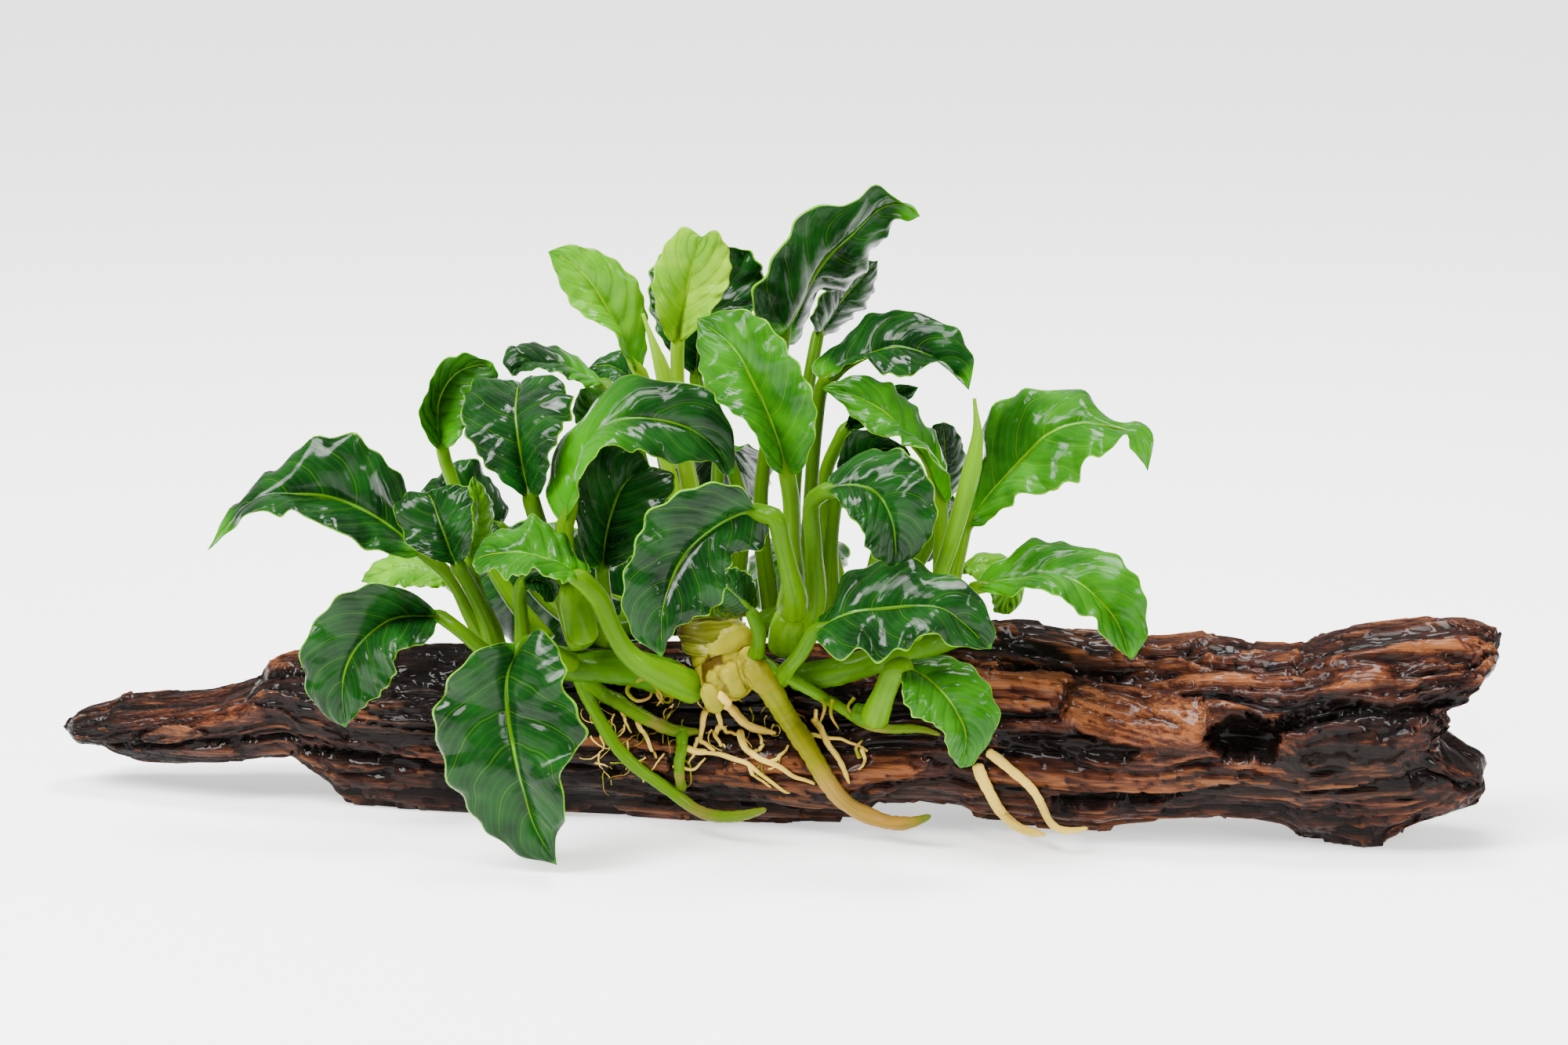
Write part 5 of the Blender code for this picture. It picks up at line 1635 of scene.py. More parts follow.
        def place(part_round: float, part_along: float) -> Vector:
            """The point of the blade's skin at the given parts.

            Args:
                part_round: the part of the way round.
                part_along: the part of the way along.

            Returns:
                The point.
            """
            left, rib, right, top = lines[round(part_along * (self.rows - 1))]
            is_top = part_round < 0.5
            across = across_at(part_round)
            edge = right if across > 0 else left
            index = 1 if across > 0 else 0
            reach = abs(across)
            full = math.sin(math.pi * part_along) ** 0.6 if 0 < part_along < 1 else 0.0
            point = rib.lerp(edge, reach)
            outward = edge - rib
            width = outward.length
            turn = 2 * math.pi * part_along
            wave = math.sin(turn * waves[index] + phases[index])
            wave += 0.3 * math.sin(turn * 2.1 * waves[index] + phases[index + 2])
            wave *= 0.75 + 0.9 * noise_at(part_along * 5, phases[index], 0.0)
            lift = self.crown * width * 4 * reach * (1 - reach)
            lift += self.ruffle * small * full * reach ** 2.5 * wave
            lift += self.slow_wave * small * full * math.sin(turn * 2.2 + phases[4] + 2 * across)
            scallop = math.sin(turn * waves[index] * 1.6 + phases[index + 2])
            point += outward.normalized() * self.scallop * small * full * reach ** 4 * scallop
            lift -= self.groove * full * bell(reach, self.groove_width)
            row = (part_along - 0.20 * reach ** 1.35) * self.side_veins
            quilt = abs(math.sin(math.pi * row)) * 4 * reach * (1 - reach)
            lift += self.quilt * full * quilt
            thick = self.half_thickness * (1 - 0.45 * reach ** 2) * full
            if reach > 0.999:
                thick = 0.0
            return point + top * (lift + (thick if is_top else -thick))

        work = wrapped(
            self.around, self.rows - 1, place,
            lambda part_round, part_along: ((across_at(part_round) + 1) / 2, part_along),
            lambda part_round, part_along: 0 if part_round < 0.5 else 1,
        )
        uv = work.loops.layers.uv[UV_NAME]
        layer = work.verts.layers.float.new(PALE_NAME)
        base, tip = self.form.pale
        for vertex in work.verts:
            along = vertex.link_loops[0][uv].uv.y
            near_base = 1 - smooth_step(0.6 * base, 1.3 * base, along)
            near_tip = smooth_step(1 - 1.4 * tip, 1 - 0.5 * tip, along)
            vertex[layer] = max(near_base, near_tip)
        return work

    def stalk(self, lines: Sequence[tuple]) -> bmesh.types.BMesh:
        """Makes the stalk, which runs on under the blade as its rib.

        Args:
            lines: the blade's left, rib, right and top at each row.

        Returns:
            The closed stalk.
        """
        line = self.stalk_line(self.nearer, self.bow)
        last = self.rows - 5
        even = self.form.stalk_mm * MM
        foot = self.form.foot_mm * MM

        def rib_size(share: float) -> float:
            """The rib's radius at a part of the blade's length.

            Args:
                share: the part of the blade's length.

            Returns:
                The radius.
            """
            thin = self.rib_radius * max(1 - share, 0.0) ** 0.8
            start = smooth_step(0.0, 0.16, share)
            return max(even * (1 - start) + thin * start, self.thinnest)

        under = []
        for row in range(1, last):
            share = row / last
            sunk = (rib_size(share) - 0.05 * MM) * smooth_step(0.0, 0.14, share)
            under.append(lines[row][1] - lines[row][3] * sunk)
        length_stalk = length_of(line)
        length_rib = length_of(under)
        base = length_stalk / (length_stalk + length_rib)

        def radius(part_round: float, part_along: float) -> float:
            """A wide foot, an even stalk, and a rib that thins out to the tip.

            Args:
                part_round: the part of the way round.
                part_along: the part of the way along.

            Returns:
                The radius.
            """
            if part_along < base:
                share = part_along / base
                return even + (foot - even) * (1 - smooth_step(0.0, self.foot_share, share))
            return rib_size((part_along - base) / (1 - base))

        return tube(line + under, radius, self.stalk_round, self.stalk_along, 2)

    def build(self, rng: random.Random) -> None:
        """Makes the leaf and dresses it.

        Args:
            rng: where its waves come from.
        """
        self.settle()
        lines = self.rows_of_blade()
        shade = self.form.shade
        # A look is a darker blade finish that paints in shade
        look = self.form.look or shade
        finishes = self.materials
        skins = (finishes.skins[look], finishes.backs[look], finishes.stalks[shade])
        work = joined([self.blade(lines, rng), self.stalk(lines)])
        add_piece(self.name + "_grown", work, skins, [self.name])


@dataclass(frozen=True)
class WoodForm:
    """A plate or hollow on the front of the wood, where the view shows it.

    slope is how far it drops across the view for each unit to the right. height_mm is how
    far it stands out. char is how black it is, negative where it is red and bare.
    """

    across: float
    down: float
    half_width: float
    half_height: float
    slope: float
    height_mm: float
    # How black it is; where the form is sunken, this black is painted shade
    char: float

    def share(self, across: float, down: float, fray: float) -> float:
        """How much of the form is at a place in the view, with a frayed rim.

        Args:
            across: picture units across.
            down: picture units down.
            fray: how far the rim is moved in, from -1 to 1.

        Returns:
            The share, from 0 to 1.
        """
        aside = (across - self.across) / self.half_width
        below = (down - self.down - self.slope * (across - self.across)) / self.half_height
        away = (aside ** 4 + below ** 4) ** 0.25 + 0.22 * fray
        return 1 - smooth_step(0.86, 1.08, away)


# The plates and hollows that the view shows; where a form is sunken, its black is painted shade
WOOD_FORMS = (
    WoodForm(1450, 913, 94, 36, 0.14, 1.1, -0.7),
    WoodForm(1300, 890, 62, 32, 0.06, 0.7, -0.6),
    WoodForm(1360, 955, 92, 15, 0.10, -1.6, 0.95),
    WoodForm(1410, 1024, 80, 11, -0.04, -3.2, 1.0),
    WoodForm(1355, 854, 92, 4.5, 0.03, -2.2, 0.9),
    WoodForm(1340, 812, 100, 24, 0.04, 0.5, 0.95),
    WoodForm(1490, 842, 70, 13, 0.06, 0.9, -0.5),
    WoodForm(1681, 910, 62, 10, -0.24, -3.6, 1.0),
    WoodForm(1730, 985, 105, 36, -0.05, 0.3, 0.8),
    WoodForm(1760, 850, 60, 24, -0.25, 0.9, -0.45),
    WoodForm(1820, 905, 40, 10, -0.05, -1.8, 0.7),
    WoodForm(1640, 850, 90, 9, -0.16, 0.6, -0.8),
    WoodForm(1580, 1005, 110, 18, 0.02, 0.4, 0.45),
    WoodForm(1262, 1000, 60, 26, 0.0, 0.4, 0.3),
    WoodForm(265, 948, 120, 4.0, -0.06, -2.0, 0.95),
    WoodForm(470, 966, 92, 6.5, 0.10, -2.6, 1.0),
    WoodForm(365, 858, 40, 4.0, -0.1, -2.0, 0.9),
    WoodForm(365, 842, 36, 11, -0.1, 0.9, 0.3),
    WoodForm(240, 915, 100, 16, -0.05, 0.7, -0.25),
    WoodForm(470, 905, 70, 22, 0.05, 0.5, -0.2),
    WoodForm(112, 930, 22, 20, 0.0, 0.5, 0.8),
    WoodForm(1080, 975, 120, 14, 0.04, 0.6, -0.3),
    WoodForm(850, 905, 190, 42, 0.02, -1.3, 1.0),
    WoodForm(1110, 890, 110, 26, 0.02, -0.9, 0.95),
    WoodForm(560, 900, 110, 60, 0.0, -0.3, 0.9),
    WoodForm(880, 1005, 230, 16, 0.02, 0.2, 0.75),
)


@dataclass
class Wood:
    """The driftwood branch, with its plates of grain, cracks, knot hole and broken ends."""

    materials: Materials
    sides: int = 188
    rows: int = 524
    tip_rows: int = 12
    torn_rows: int = 46
    foot_height: float = 2.4 * MM
    knot: Place = (1588.0, 941.0, -17.0)
    knot_half: Corner = (7.6 * MM, 5.2 * MM)
    knot_depth: float = 10 * MM
    plate: Corner = (32 * MM, 3.4 * MM)
    flake: Corner = (13 * MM, 1.3 * MM)
    foot_line: float = 1040.0
    foot_blend: float = 3 * MM
    seed: int = 11
    tree: BVHTree | None = None

    def stations(self) -> tuple[list[Vector], list[Vector]]:
        """The wood's heights and depths along its length, as smooth curves.

        Returns:
            Points of length, bottom and top, and points of length, front and back.
        """
        heights = []
        depths = []
        for across, top, bottom, front, back in WOOD_OUTLINE:
            middle = (front + back) / 2
            high = VIEW.seen((across, top, middle + 2))
            low = VIEW.seen((across, bottom, middle - 4))
            x = (high.x + low.x) / 2
            heights.append(Vector((x, low.z, high.z)))
            depths.append(Vector((x, front * MM, back * MM)))
        return smooth_through(heights), smooth_through(depths)

    def spine(self, rows: int) -> list[tuple[float, float, float, float, float]]:
        """The wood's place along, bottom, top, front and back at each row.

        Args:
            rows: how many rows there are.

        Returns:
            The five values for each row.
        """
        heights, depths = self.stations()
        rows_found = []
        span = 0
        for x, low, high in evenly(heights, rows):
            while span < len(depths) - 2 and depths[span + 1].x < x:
                span += 1
            reach = max(depths[span + 1].x - depths[span].x, 1e-9)
            part = min(max((x - depths[span].x) / reach, 0.0), 1.0)
            front, back = depths[span].lerp(depths[span + 1], part)[1:]
            rows_found.append((x, low, high, front, back))
        return rows_found

    def scales(self, along: float, across: Vector, length: float, width: float) -> Corner:
        """Breaks the grain into long flakes.

        Args:
            along: the place along the grain.
            across: the place across the grain.
            length: a flake's length.
            width: a flake's width.

        Returns:
            The flake's height from -1 to 1, and how much of a crack is there.
        """
        at = Vector((along / length, across.y / width, across.z / width))
        distances, points = noise.voronoi(at)
        height = 2.2 * noise.noise(points[0] * 3.7) + 0.7 * (at.x - points[0].x)
        return height, 1 - smooth_step(0.0, 0.09, distances[1] - distances[0])

    def relief(self, along: float, flow: Vector, skin: Vector) -> Corner:
        """How far the weathered grain stands out at a place, and how worn it is.

        Args:
            along: the place along the grain.
            flow: the place across the grain.
            skin: the place on the plain form.

        Returns:
            The height in metres, and the height of the finer grain from -1 to 1.
        """
        sway = noise_at(along * 60, skin.y * 40, skin.z * 40)
        flow = flow + Vector((0.0, 0.5, 0.8)) * sway * 1.4 * MM
        broad = noise_at(along * 15, flow.y * 95, flow.z * 95)
        plate, gap = self.scales(along + 0.02 * sway, flow, *self.plate)
        flake, slit = self.scales(along - 0.01 * sway, flow, *self.flake)
        strip = 1 - 2.4 * abs(noise_at(along * 34, flow.y * 430, flow.z * 430))
        fissure = abs(noise_at(along * 12 + 31, flow.y * 150, flow.z * 150))
        fissure = 1 - smooth_step(0.0, 0.07, fissure)
        fine = 0.5 * flake + 0.5 * strip - 0.8 * slit
        height = 1.1 * broad + 0.72 * plate + 0.36 * flake + 0.34 * strip
        height -= 0.6 * gap + 0.25 * slit + 1.9 * fissure + 0.35
        return height * MM, fine

    def resting(self, x: float, feet: Sequence[Sequence[float]]) -> float:
        """How much the wood rests on the ground at a place along it.

        Args:
            x: the place along the wood.
            feet: where each foot starts and ends.

        Returns:
            The share, from 0 in the air to 1 on the ground.
        """
        blend = self.foot_blend
        return max(
            smooth_step(a - blend, a + blend, x) * (1 - smooth_step(b - blend, b + blend, x))
            for a, b in feet
        )

    def ridges(self, turn: float, x: float, phases: Sequence[float]) -> float:
        """How far long ridges widen the plain form.

        Args:
            turn: the direction around the wood.
            x: the place along the wood.
            phases: where each row of ridges starts.

        Returns:
            The change, as a part of the wood's half thickness.
        """
        broad = 0.050 * math.sin(3 * turn + phases[0] + 22 * x)
        broad += 0.035 * math.sin(5 * turn + phases[1] - 35 * x)
        return broad + 0.030 * math.sin(2 * turn + phases[2] + 90 * x)

    def formed(self, spot: Corner, fray: float, depth: float, char: float) -> Corner:
        """Adds the plates and hollows that the view shows.

        Args:
            spot: the place in the view.
            fray: how far the rims of the forms are moved in, from -1 to 1.
            depth: how far the grain stands out there.
            char: how black it is there.

        Returns:
            The new depth and blackness, painted shade in sunken forms included.
        """
        for form in WOOD_FORMS:
            share = form.share(*spot, fray)
            depth += share * form.height_mm * MM
            char += share * (form.char - char * 0.7)
        return depth, char

    def build(self) -> None:
        """Makes the branch and dresses it."""
        rng = random.Random(self.seed)
        phases = [rng.uniform(0, 2 * math.pi) for _ in range(6)]
        body_rows = self.rows - 2 * self.tip_rows
        spine = self.spine(body_rows + 1)
        feet = [[VIEW.seen((end, self.foot_line, 0)).x for end in foot] for foot in WOOD_FEET]
        knot = VIEW.seen(self.knot)
        marks = {}

        def reach_at(height: float) -> float:
            """How far the torn end reaches past the last place, at a height."""
            part_up = (height - spine[-1][1] + 4 * MM) / (spine[-1][2] - spine[-1][1] + 6 * MM)
            return value_along(END_REACH, part_up) * MM / UNITS_PER_MM

        def place(part_round: float, part_along: float) -> Vector:
            """The point of the wood's skin at the given parts.

            Args:
                part_round: the part of the way round.
                part_along: the part of the way along.

            Returns:
                The point.
            """
            row = round(part_along * self.rows) - self.tip_rows
            x, low, high, front, back = spine[min(max(row, 0), body_rows)]
            on_foot = self.resting(x, feet)
            low = (1 - on_foot) * max(low, 1.2 * MM)
            turn = 2 * math.pi * (part_round % 1.0)
            cos, sin = math.cos(turn), math.sin(turn)
            half_depth = (back - front) / 2
            half_height = (high - low) / 2
            middle = Vector((x, (front + back) / 2, (low + high) / 2))
            girth = Vector((0.0, cos * half_depth, sin * half_height))
            skin = middle + girth * (1 + self.ridges(turn, x, phases))
            from_knot = Vector((9.0, 9.0))
            if cos < 0:
                from_knot = Vector((
                    (x - knot.x) / self.knot_half[0], (skin.z - knot.z) / self.knot_half[1]
                ))
            away = from_knot.length
            flow = girth.copy()
            flow.y += 2.2 * MM * noise_at(x * 14, 3.1, sin * 0.8)
            flow.z += 2.2 * MM * noise_at(x * 14, 7.7, cos * 0.8)
            flow.z += 2.4 * MM * bell(away, 2.6) * from_knot.y / (away + 0.3)
            across, down = VIEW.shown(skin)
            tilt = WOOD_FORMS[0].share(across, down, 0.0) if cos < 0.25 else 0.0
            shift = 0.3 * tilt * (across - WOOD_FORMS[0].across) * MM / UNITS_PER_MM
            flow.z += shift
            depth, fine = self.relief(x, flow, skin)
            if tilt > 0:
                grain = 0.5 * noise_at(x * 26, 5.0, flow.z * 620)
                grain += 0.4 * noise_at(x * 50, 9.0, flow.z * 1500)
                depth += tilt * (grain * MM - 0.7 * depth)
                fine += tilt * (1.4 * grain - 0.6 * fine)
            depth *= 0.45 + 0.55 * min((high - low) / (34 * MM), 1.0)
            char = 0.72 * (1 - smooth_step(-0.035, 0.075, x))
            char += 0.55 * noise_at(x * 26, skin.y * 45, skin.z * 60)
            if cos < 0.25:
                depth, char = self.formed((across, down), fine, depth, char)
            hole = 1 - smooth_step(0.86, 1.06, away + 0.16 * fine)
            lip = bell(away - 1.25, 0.3)
            depth += 0.6 * MM * lip * (1 - hole)
            depth = depth * (1 - hole) - self.knot_depth * hole * (1 - 0.25 * away)
            # The inside of the knot hole is blackened: painted shade
            char = max(char, 1.2 * hole)
            # How deep a place lies, which the finish darkens into painted shade
            hollow = 0.52 + 0.20 * fine + depth / (5.5 * MM)
            out = Vector((0.0, cos / half_depth, sin / half_height)).normalized()
            point = skin + out * depth
            torn = reach_at(point.z)
            torn += 1.3 * MM * noise_at(1.5, point.y * 150, point.z * 150)
            torn += 1.6 * MM * noise_at(4.5, point.y * 420, point.z * 420)
            if row > body_rows - self.torn_rows:
                point.x += torn * smooth_step(body_rows - self.torn_rows, body_rows, row)
            if row < 0:
                share = 1 + row / self.tip_rows
                point = middle + (point - middle) * math.sqrt(share)
                point.x = spine[0][0] - 1.5 * MM * (1 - share) + 1.0 * MM * fine * share
            if row > body_rows:
                share = 1 - (row - body_rows) / self.tip_rows
                point = middle + (point - middle) * share ** 0.7
                inner = reach_at(point.z)
                inner += 2.4 * MM * noise_at(2.0, point.y * 260, point.z * 330)
                inner += 1.2 * MM * noise_at(8.0, point.y * 700, point.z * 800)
                point.x = spine[-1][0] + torn * share + (inner - 3.0 * MM) * (1 - share)
                hollow = 0.45 + 0.16 * noise_at(9.0, point.y * 700, point.z * 800)
                char = 0.55
            if on_foot > 0.5 and point.z < self.foot_height * 0.5:
                point.z = max(point.z, 0.0) * 0.2
            point.z = max(point.z, 0.0)
            key = (round(part_round * self.sides) % self.sides, round(part_along * self.rows))
            marks[key] = (min(max(hollow, 0.0), 1.0), min(max(char, -1.0), 1.0), shift)
            return point

        work = wrapped(self.sides, self.rows, place)
        uv = work.loops.layers.uv[UV_NAME]
        names = (HOLLOW_NAME, CHAR_AND_SHADE_NAME, GRAIN_NAME)
        layers = [work.verts.layers.float.new(name) for name in names]
        for vertex in work.verts:
            corner = vertex.link_loops[0][uv].uv
            key = (round(corner.x * self.sides) % self.sides, round(corner.y * self.rows))
            for layer, value in zip(layers, marks[key]):
                vertex[layer] = value
        self.tree = BVHTree.FromBMesh(work)
        add_piece("driftwood_branch", work, [self.materials.wood], ["driftwood_log"])


def rounded_end(share: float, sharpness: float = 10.0) -> float:
    """Rounds a stem off at both of its ends, as a part of its radius."""
    return math.sqrt(max(1 - abs(2 * share - 1) ** sharpness, 0.0))


@dataclass
class Stem:
    """A stretch of the creeping stem, ringed where old leaves have dropped off."""

    name: str
    radii: Sequence[float]
    places: Sequence[Place]
    material: bpy.types.Material
    ring: float = 3.4 * MM
    lump: float = 0.07
    around: int = 26
    along: int = 60
    samples: int = 24
    knots: int = 9

    def build(self, trees: Sequence[BVHTree]) -> None:
        """Makes the stem, pressed onto what it grows on.

        Args:
            trees: the surfaces that it keeps outside of.
        """
        line = []
        for index, point in enumerate(evenly(seen_line(self.places), self.samples)):
            size = value_along(self.radii, index / (self.samples - 1))
            line.append(pushed_clear(point, size * 0.9 * MM, trees))
        line = smooth_through(evenly(line, self.knots), 8)
        length = length_of(line)

        def radius(part_round: float, part_along: float) -> float:
            """Swollen between the leaf scars, with a lumpy skin.

            Args:
                part_round: the part of the way round.
                part_along: the part of the way along.

            Returns:
                The radius.
            """
            turn = 2 * math.pi * part_round
            ring = part_along * length / self.ring + 0.12 * math.sin(turn)
            scar = bell(ring % 1.0 - 0.5, 0.13)
            spot = Vector((math.cos(turn) * 1.5, math.sin(turn) * 1.5, part_along * length * 260))
            lump = noise.noise(spot + Vector((len(self.name), 0.0, 0.0)))
            size = value_along(self.radii, part_along) * MM
            return size * (1 + self.lump * lump - 0.6 * self.lump * scar) * rounded_end(part_along)

        work = tube(line, radius, self.around, self.along)
        add_piece(self.name + "_grown", work, [self.material], [self.name])


@dataclass
class Root:
    """A root that runs over the wood, and may leave it at its tip."""

    name: str
    radii: Corner
    on_wood: Sequence[Corner]
    free: Sequence[Place]
    material: bpy.types.Material
    head: Sequence[Place] = ()
    ring: float = 2.6 * MM
    around: int = 12
    samples: int = 60
    knots: int = 14
    points: int = 90
    smoothings: int = 60

    def line(self, wood: BVHTree, others: Sequence[BVHTree]) -> list[Vector]:
        """The root's middle line.

        Args:
            wood: the wood's surface.
            others: the stems that it stays outside of.

        Returns:
            The line from its thick end to its tip.
        """
        thick, thin = self.radii
        places = evenly(smooth_through([Vector(place) for place in self.on_wood]), 30)
        line = []
        for place in places:
            point, normal = on_surface(wood, place.x, place.y)
            line.append(point + normal * thick * 0.85 * MM)
        line = evenly(line, 3 * len(self.on_wood)) + [VIEW.seen(place) for place in self.free]
        line = evenly(smooth_through(line), self.samples)
        settled = []
        for index, point in enumerate(line):
            size = (thick + (thin - thick) * index / (self.samples - 1)) * MM
            point = pushed_clear(point, size * 0.75, [wood, *others])
            settled.append(Vector((point.x, point.y, max(point.z, size + 0.1 * MM))))
        head = [VIEW.seen(place) for place in self.head]
        line = smooth_through([*head, *evenly(settled, self.knots)], 5)
        line = evenly(line, self.points)
        for _ in range(self.smoothings):
            for index in range(1, len(line) - 1):
                line[index] = (line[index - 1] + 2 * line[index] + line[index + 1]) / 4
        return line

    def solid(self, line: Sequence[Vector], seed: float) -> bmesh.types.BMesh:
        """Makes the root along its line, a little knotted.

        Args:
            line: the root's middle line.
            seed: where its swellings come from.

        Returns:
            The closed root.
        """
        thick, thin = self.radii
        length = length_of(line)

        def radius(part_round: float, part_along: float) -> float:
            """Thinner to the tip, with rings and small swellings.

            Args:
                part_round: the part of the way round.
                part_along: the part of the way along.

            Returns:
                The radius.
            """
            swell = noise_at(part_along * 14, seed, 0.0)
            swell += 0.5 * noise_at(part_along * 40, part_round * 3, seed)
            ring = part_along * length / self.ring + 0.25 * swell
            scar = bell(ring % 1.0 - 0.5, 0.12)
            size = (thick + (thin - thick) * part_along) * MM
            pointed = 1 - 0.45 * smooth_step(0.86, 1.0, part_along)
            return size * pointed * (1 + 0.10 * swell - 0.07 * scar) * rounded_end(part_along, 40.0)

        return tube(line, radius, self.around, len(line))

    def build(self, wood: BVHTree, others: Sequence[BVHTree]) -> None:
        """Makes the root and dresses it."""
        work = self.solid(self.line(wood, others), float(len(self.name)))
        add_piece(self.name + "_grown", work, [self.material], [self.name])


@dataclass
class Spear:
    """A young leaf that is still rolled up."""

    name: str
    places: Sequence[Place]
    material: bpy.types.Material
    radii: Sequence[float] = SPEAR_RADII
    around: int = 28
    along: int = 90

    def line(self, nearer: float) -> list[Vector]:
        """Its middle line when its leaf is moved nearer the viewer.

        Args:
            nearer: by how many millimetres its upper part stands nearer the viewer.

        Returns:
            The line, in metres.
        """
        line = smooth_through([to_millimetres(place) for place in self.places])
        last = len(line) - 1
        for index, place in enumerate(line):
            place.z -= nearer * min(3 * index / last, 1.0)
        return [to_point(place) for place in line]

    def build(self) -> None:
        """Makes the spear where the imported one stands."""
        tree = node_tree_of(self.name)

        def spear_misfit(nearer: int) -> float:
            """How badly the spear fits when it is moved nearer."""
            line = self.line(nearer)
            return misfit(line[len(line) // 2:], tree)

        line = self.line(min(NEARER_TRIED, key=spear_misfit))

        def radius(part_round: float, part_along: float) -> float:
            """Round, with the step of the rolled margin winding up its upper half.

            Args:
                part_round: the part of the way round.
                part_along: the part of the way along.

            Returns:
                The radius.
            """
            size = value_along(self.radii, part_along) * MM
            rolled = smooth_step(0.35, 0.5, part_along)
            step = (part_round - 0.2 - 0.8 * part_along) % 1.0
            return size * (1 + 0.16 * rolled * (0.5 - step))

        work = tube(line, radius, self.around, self.along)
        add_piece(self.name + "_grown", work, [self.material], [self.name])


@dataclass
class Crown:
    """The swollen heart of the creeping stem: a cream bulb, its neck, lobes and knobs."""

    material: bpy.types.Material
    around: int = 40
    along: int = 44
    seam: float = 0.8 * MM

    def build(self) -> None:
        """Makes the crown and dresses it."""
        parts = []
        for index, (radii, places) in enumerate(CROWN_LOBES):
            line = seen_line(places)

            def radius(part_round: float, part_along: float) -> float:
                """Lumpy, creased around, and round at its ends.

                Args:
                    part_round: the part of the way round.
                    part_along: the part of the way along.

                Returns:
                    The radius.
                """
                turn = 2 * math.pi * part_round
                spot = Vector((math.cos(turn), math.sin(turn), 3 * part_along + 7 * index))
                lump = 0.08 * noise.noise(spot * 1.3) + 0.04 * noise.noise(spot * 3.1)
                lump += 0.02 * math.sin(11 * turn + 4 * part_along)
                crease = bell(part_along * 3.0 % 1.0 - 0.5, 0.08)
                size = value_along(radii, part_along) * MM
                return size * (1 + lump - 0.03 * crease) * rounded_end(part_along, 4.0)

            parts.append(tube(line, radius, self.around, self.along))
        self.mark(parts)
        add_piece("crown_grown", joined(parts), [self.material], ["rhizome_crown"])

    def mark(self, parts: Sequence[bmesh.types.BMesh]) -> None:
        """Notes where the crown is dark: brown in its scars, painted shade where its lobes meet.

        Args:
            parts: the crown's lobes.
        """
        scars = [(VIEW.seen(place), size * MM) for place, size in CROWN_SCARS]
        trees = []
        for part in parts:
            part.normal_update()
            trees.append(BVHTree.FromBMesh(part))
        for index, part in enumerate(parts):
            layer = part.verts.layers.float.new(CHAR_AND_SHADE_NAME)
            others = trees[:index] + trees[index + 1:]
            for vertex in part.verts:
                near = min(other.find_nearest(vertex.co)[3] for other in others)
                # Painted shade in the seams where the lobes meet
                dark = 0.6 * (1 - smooth_step(0.1 * MM, self.seam, near))
                for scar, size in scars:
                    dark = max(dark, 1.2 * (1 - smooth_step(0.4, 1.2, (vertex.co - scar).length / size)))
                vertex[layer] = dark


@dataclass
class Husks:
    """The papery remains of old leaf sheaths, wound around the top of the crown."""

    material: bpy.types.Material
    top: Place = (906, 798, -14)
    bottom: Place = (932, 884, -17)
    girth: float = 6.9 * MM
    around: int = 26
    along: int = 48

    def band(self, turns: Corner, heights: Corner, half_width: float, seed: float) -> bmesh.types.BMesh:
        """Makes one wound fold.

        Args:
            turns: the directions of its two ends around the crown, in degrees.
            heights: how far down the crown its ends lie, from 0 at the top to 1.
            half_width: half its width in millimetres.
            seed: where its creases come from.

        Returns:
            The closed fold.
        """
        top, bottom = VIEW.seen(self.top), VIEW.seen(self.bottom)
        up = (top - bottom).normalized()

        def place(part_round: float, part_along: float) -> Vector:
            """The point of the fold's skin at the given parts.

            Args:
                part_round: the part of the way round.
                part_along: the part of the way along.

            Returns:
                The point.
            """
            angle = math.radians(turns[0] + (turns[1] - turns[0]) * part_along)
            height = heights[0] + (heights[1] - heights[0]) * part_along
            out = Vector((math.cos(angle), math.sin(angle), 0.0))
            spot = Vector((part_along * 4, seed, 0.0))
            wide = half_width * MM * math.sin(math.pi * part_along) ** 0.5
            wide *= 1 + 0.5 * noise.noise(spot)
            turn = 2 * math.pi * part_round
            across = math.cos(turn)
            crease = noise_at(part_along * 3, across * 3.5, seed + 5)
            stand = self.girth * (1 + 0.06 * noise.noise(spot * 0.7)) + 0.4 * MM * crease
            stand += 0.12 * MM * math.sin(17 * across + 3 * part_along)
            stand += 0.5 * MM * across * math.sin(seed) + 0.22 * MM * math.sin(turn)
            return top.lerp(bottom, height) + out * stand + up * across * wide

        return wrapped(self.around, self.along, place)

    def build(self) -> None:
        """Makes the folds."""
        parts = [self.band(*fold, index * 1.7) for index, fold in enumerate(HUSK_FOLDS)]
        add_piece("papery_husks", joined(parts), [self.material])


